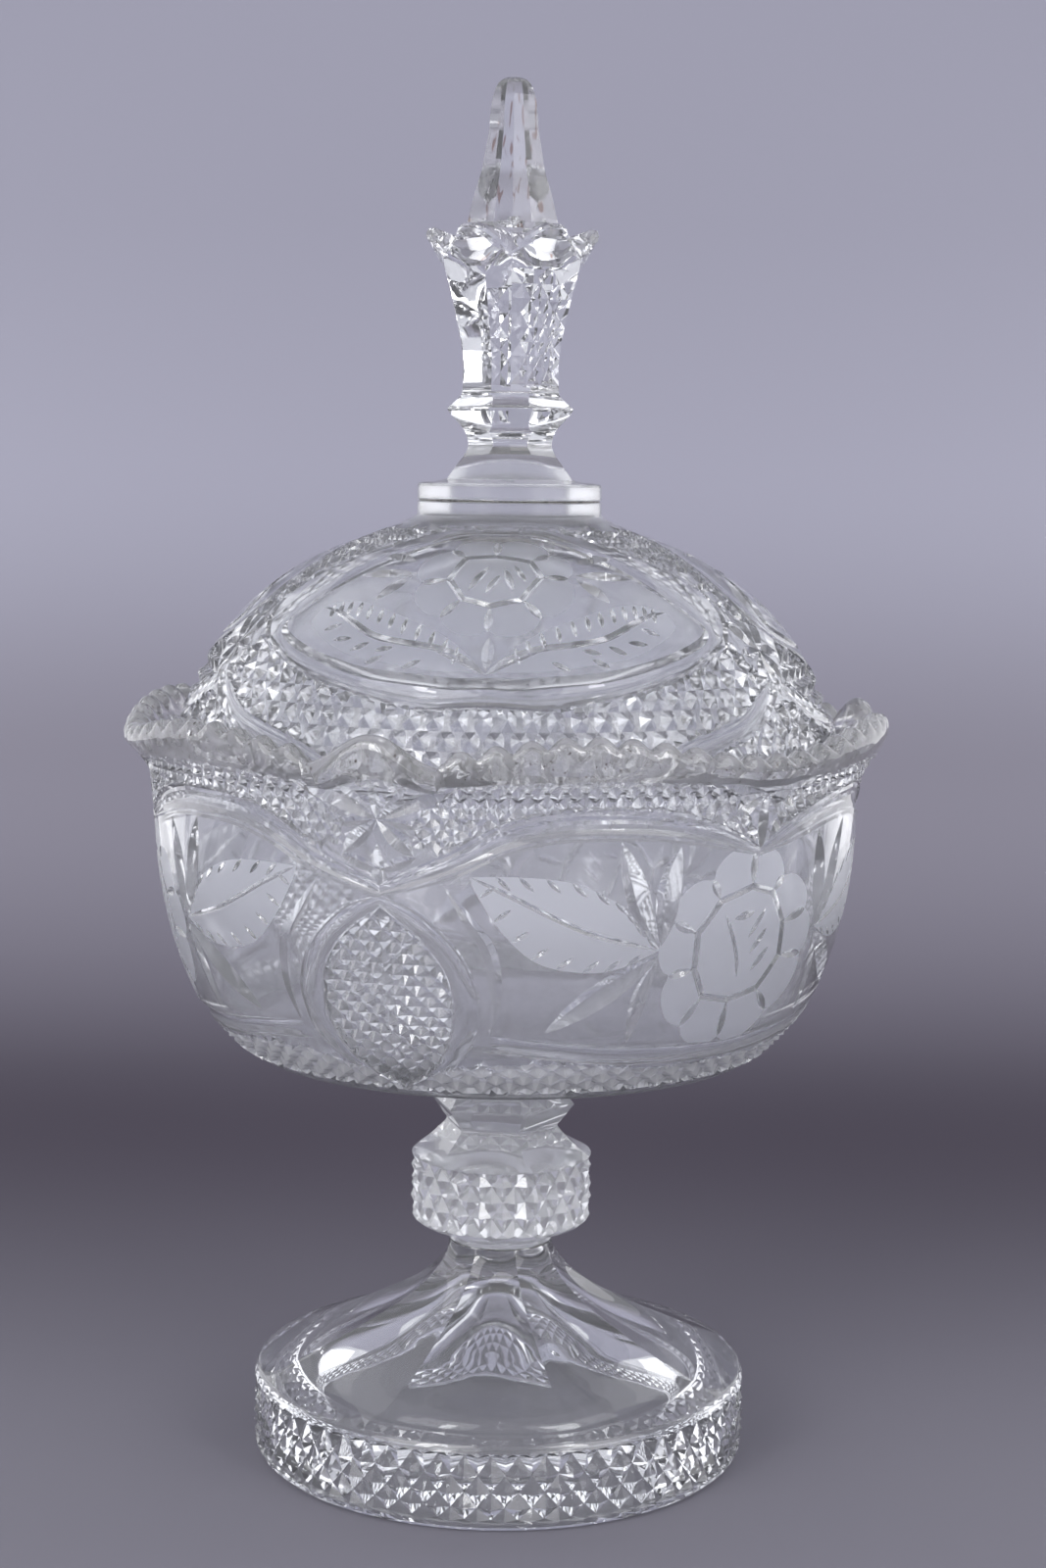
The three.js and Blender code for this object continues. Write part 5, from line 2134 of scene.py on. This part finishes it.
@dataclass(frozen=True)
class Softbox:
    """Soft rectangular lamp, out of the camera's sight, that is turned to the object's axis."""

    name: str
    place: tuple[float, float, float]
    aim_height: float
    size: tuple[float, float]
    power: float

    def add(self) -> None:
        """Adds the lamp to the scene."""
        light = bpy.data.lights.new(self.name, "AREA")
        light.shape = "RECTANGLE"
        light.size, light.size_y = self.size
        light.energy = self.power
        holder = bpy.data.objects.new(self.name, light)
        holder.location = self.place
        holder.visible_camera = False
        way = Vector((0, 0, self.aim_height)) - Vector(self.place)
        holder.rotation_euler = way.to_track_quat("-Z", "Y").to_euler()
        bpy.context.scene.collection.objects.link(holder)


@dataclass
class Studio:
    """Backdrop sweep, six soft lamps, an even surround and the camera, in metres and degrees.

    The two low lamps behind light the edges of the glass, the two large ones in front light its
    faces, and the narrow ones between leave long thin highlights.
    """

    floor_front: float = -1.6
    floor_half_width: float = 2.0
    wall_half_width: float = 0.5
    bend_start: float = 0.55
    bend_radius: float = 0.5
    wall_top: float = 2.2
    lamps: tuple[Softbox, ...] = (
        Softbox("left_rim_softbox", (-0.85, 0.6, 0.32), 0.18, (1.0, 0.7), 1.9),
        Softbox("right_rim_softbox", (0.85, 0.62, 0.32), 0.18, (1.0, 0.7), 1.8),
        Softbox("key_softbox", (-0.85, -1.1, 0.95), 0.25, (1.2, 1.2), 10),
        Softbox("fill_softbox", (1.0, -0.9, 0.8), 0.25, (1.1, 1.1), 6.4),
        Softbox("left_strip", (-0.7, -1.08, 0.7), 0.24, (0.16, 0.7), 3.2),
        Softbox("right_strip", (0.78, -1.02, 0.7), 0.24, (0.16, 0.7), 2.6),
    )
    surround: tuple[tuple[float, str], ...] = ((0.0, "#8e8e98"), (0.55, "#d2d3da"), (0.08, "#b6b7c0"))
    surround_strength: float = 1.2
    camera_place: tuple[float, float, float] = (0.0056, -0.8493, 0.3282)
    camera_pitch: float = 7.05
    camera_roll: float = 0.75
    focal_length: float = 59.73
    sensor_width: float = 36.0

    def backdrop(self) -> None:
        """Adds the sheet of paper: a level floor, a quarter circle, and a narrower wall."""
        turn = np.linspace(0, np.pi / 2, 61)
        y = self.bend_start + self.bend_radius * np.sin(turn)
        z = self.bend_radius * (1 - np.cos(turn))
        y = np.concatenate([[self.floor_front, self.bend_start - 0.02], y, [y[-1]]])
        z = np.concatenate([[0, 0], z, [self.wall_top]])
        half = np.where(y < self.bend_start - 0.01, self.floor_half_width, self.wall_half_width)
        x = np.stack([-half, half], 1).ravel()
        points = np.stack([x, np.repeat(y, 2), np.repeat(z, 2)], 1)
        i = 2 * np.arange(len(y) - 1)
        faces = np.stack([i, i + 1, i + 3, i + 2], 1)
        mesh = bpy.data.meshes.new("backdrop_paper")
        mesh.from_pydata(points.tolist(), [], faces.tolist())
        mesh.shade_smooth()
        sheet = bpy.data.objects.new("backdrop_paper", mesh)
        bpy.context.scene.collection.objects.link(sheet)
        sheet.data.materials.append(StudioPaper().make())

    def world(self) -> None:
        """Adds the surround, which is palest overhead."""
        world = bpy.data.worlds.new("surround")
        bpy.context.scene.world = world
        world.use_nodes = True
        tree = world.node_tree
        place = add_node(tree, "ShaderNodeTexCoord")
        parts = add_node(tree, "ShaderNodeSeparateXYZ", {"Vector": place.outputs["Generated"]})
        colours = add_node(tree, "ShaderNodeValToRGB", {"Fac": parts.outputs["Z"]}, stops=self.surround)
        background = tree.nodes["Background"]
        background.inputs["Strength"].default_value = self.surround_strength
        tree.links.new(colours.outputs["Color"], background.inputs["Color"])

    def camera(self) -> None:
        """Adds the camera, looking down and turned a little, as measured on the photo."""
        pitch, roll = math.radians(self.camera_pitch), math.radians(self.camera_roll)
        ahead = Vector((0, math.cos(pitch), -math.sin(pitch)))
        level = Vector((1, 0, 0))
        raised = Vector((0, math.sin(pitch), math.cos(pitch)))
        up = raised * math.cos(roll) - level * math.sin(roll)
        right = level * math.cos(roll) + raised * math.sin(roll)
        camera = bpy.data.cameras.new("camera")
        camera.lens = self.focal_length
        camera.sensor_width = self.sensor_width
        holder = bpy.data.objects.new("camera", camera)
        pose = Matrix((right, up, -ahead)).transposed().to_4x4()
        pose.translation = Vector(self.camera_place)
        holder.matrix_world = pose
        bpy.context.scene.collection.objects.link(holder)
        bpy.context.scene.camera = holder

    def build(self) -> None:
        """Sets the stage."""
        bpy.context.scene.view_settings.view_transform = "Standard"
        self.backdrop()
        for lamp in self.lamps:
            lamp.add()
        self.world()
        self.camera()


def main() -> None:
    """Builds and dresses the compote, piece by piece."""
    logging.basicConfig(level=logging.INFO, format="%(message)s")
    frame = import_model()
    Studio().build()
    polished = PolishedCrystal().make()
    # Thick solid glass, which looks soft and milky in its depth.
    stem_polished = PolishedCrystal(name="crystal_pressed_softened", clearness=0.74).make()
    # The bowl's wall, handled and washed often: clear, with a thin grey veil.
    bowl_polished = PolishedCrystal(name="crystal_pressed_hand_worn", clearness=0.88).make()
    # The lowest row of diamonds, which washing has dulled to a pale grey.
    bowl_worn = PolishedCrystal(
        name="crystal_pressed_washed_dull", clearness=0.64, roughness=(0.04, 0.1)
    ).make()
    # The lid's clear cuts: bright, with soft-edged reflections.
    lid_polished = PolishedCrystal(
        name="crystal_pressed_bright", clearness=0.955, roughness=(0.03, 0.09)
    ).make()
    frosted = FrostedCrystal().make()
    dusty = DustyCrystal().make()
    # Inside of the bowl, left as the plunger pressed it: it blurs what is seen through it a little.
    inside = FrostedCrystal(
        name="crystal_pressed_inside", colour="#f4f5f8", roughness=0.06, clearness=0.92, grain_size=2.0,
        grain_height=0.012,
    ).make()
    # Edges that fingers rub: smooth, with a broad soft sheen.
    worn = FrostedCrystal(
        name="crystal_rubbed_by_hands", colour="#f4f5f8", roughness=0.2, clearness=0.92, grain_size=1.2,
        grain_height=0.01,
    ).make()
    # The spire: clear glass with brownish streaks of dried drops.
    stained = DustyCrystal(
        name="crystal_polished_stained", colour="#fbfcfe", speck_colour="#a8857a", speck_size=1.9,
        clearness=0.96, stretch=0.16, reach=0.35, blur=0.07,
    ).make()
    adhesive = CuredAdhesive().make()
    for film in ("foot_bond", "bowl_bond", "finial_bond"):
        node = frame["nodes"][film]
        node.data.materials.clear()
        node.data.materials.append(adhesive)
    # The lid's flowers, etched finer than the bowl's: paler, and more light comes through.
    lid_frosted = FrostedCrystal(name="crystal_acid_frosted_lid", clearness=0.9, roughness=0.34).make()
    # Inside of the lid, duller than the bowl's because it is seldom washed.
    lid_inside = FrostedCrystal(
        name="crystal_pressed_inside_lid", colour="#f4f5f8", roughness=0.12, clearness=0.94, grain_size=2.0,
        grain_height=0.01,
    ).make()
    Foot().build([polished])
    Stem().build([stem_polished])
    Bowl().build([bowl_polished, frosted, dusty, inside, bowl_worn])
    Lid().build([lid_polished, lid_frosted, dusty, lid_inside, worn])
    Finial().build([polished, lid_frosted, stained, lid_inside, worn])


if __name__ == "__main__":
    main()
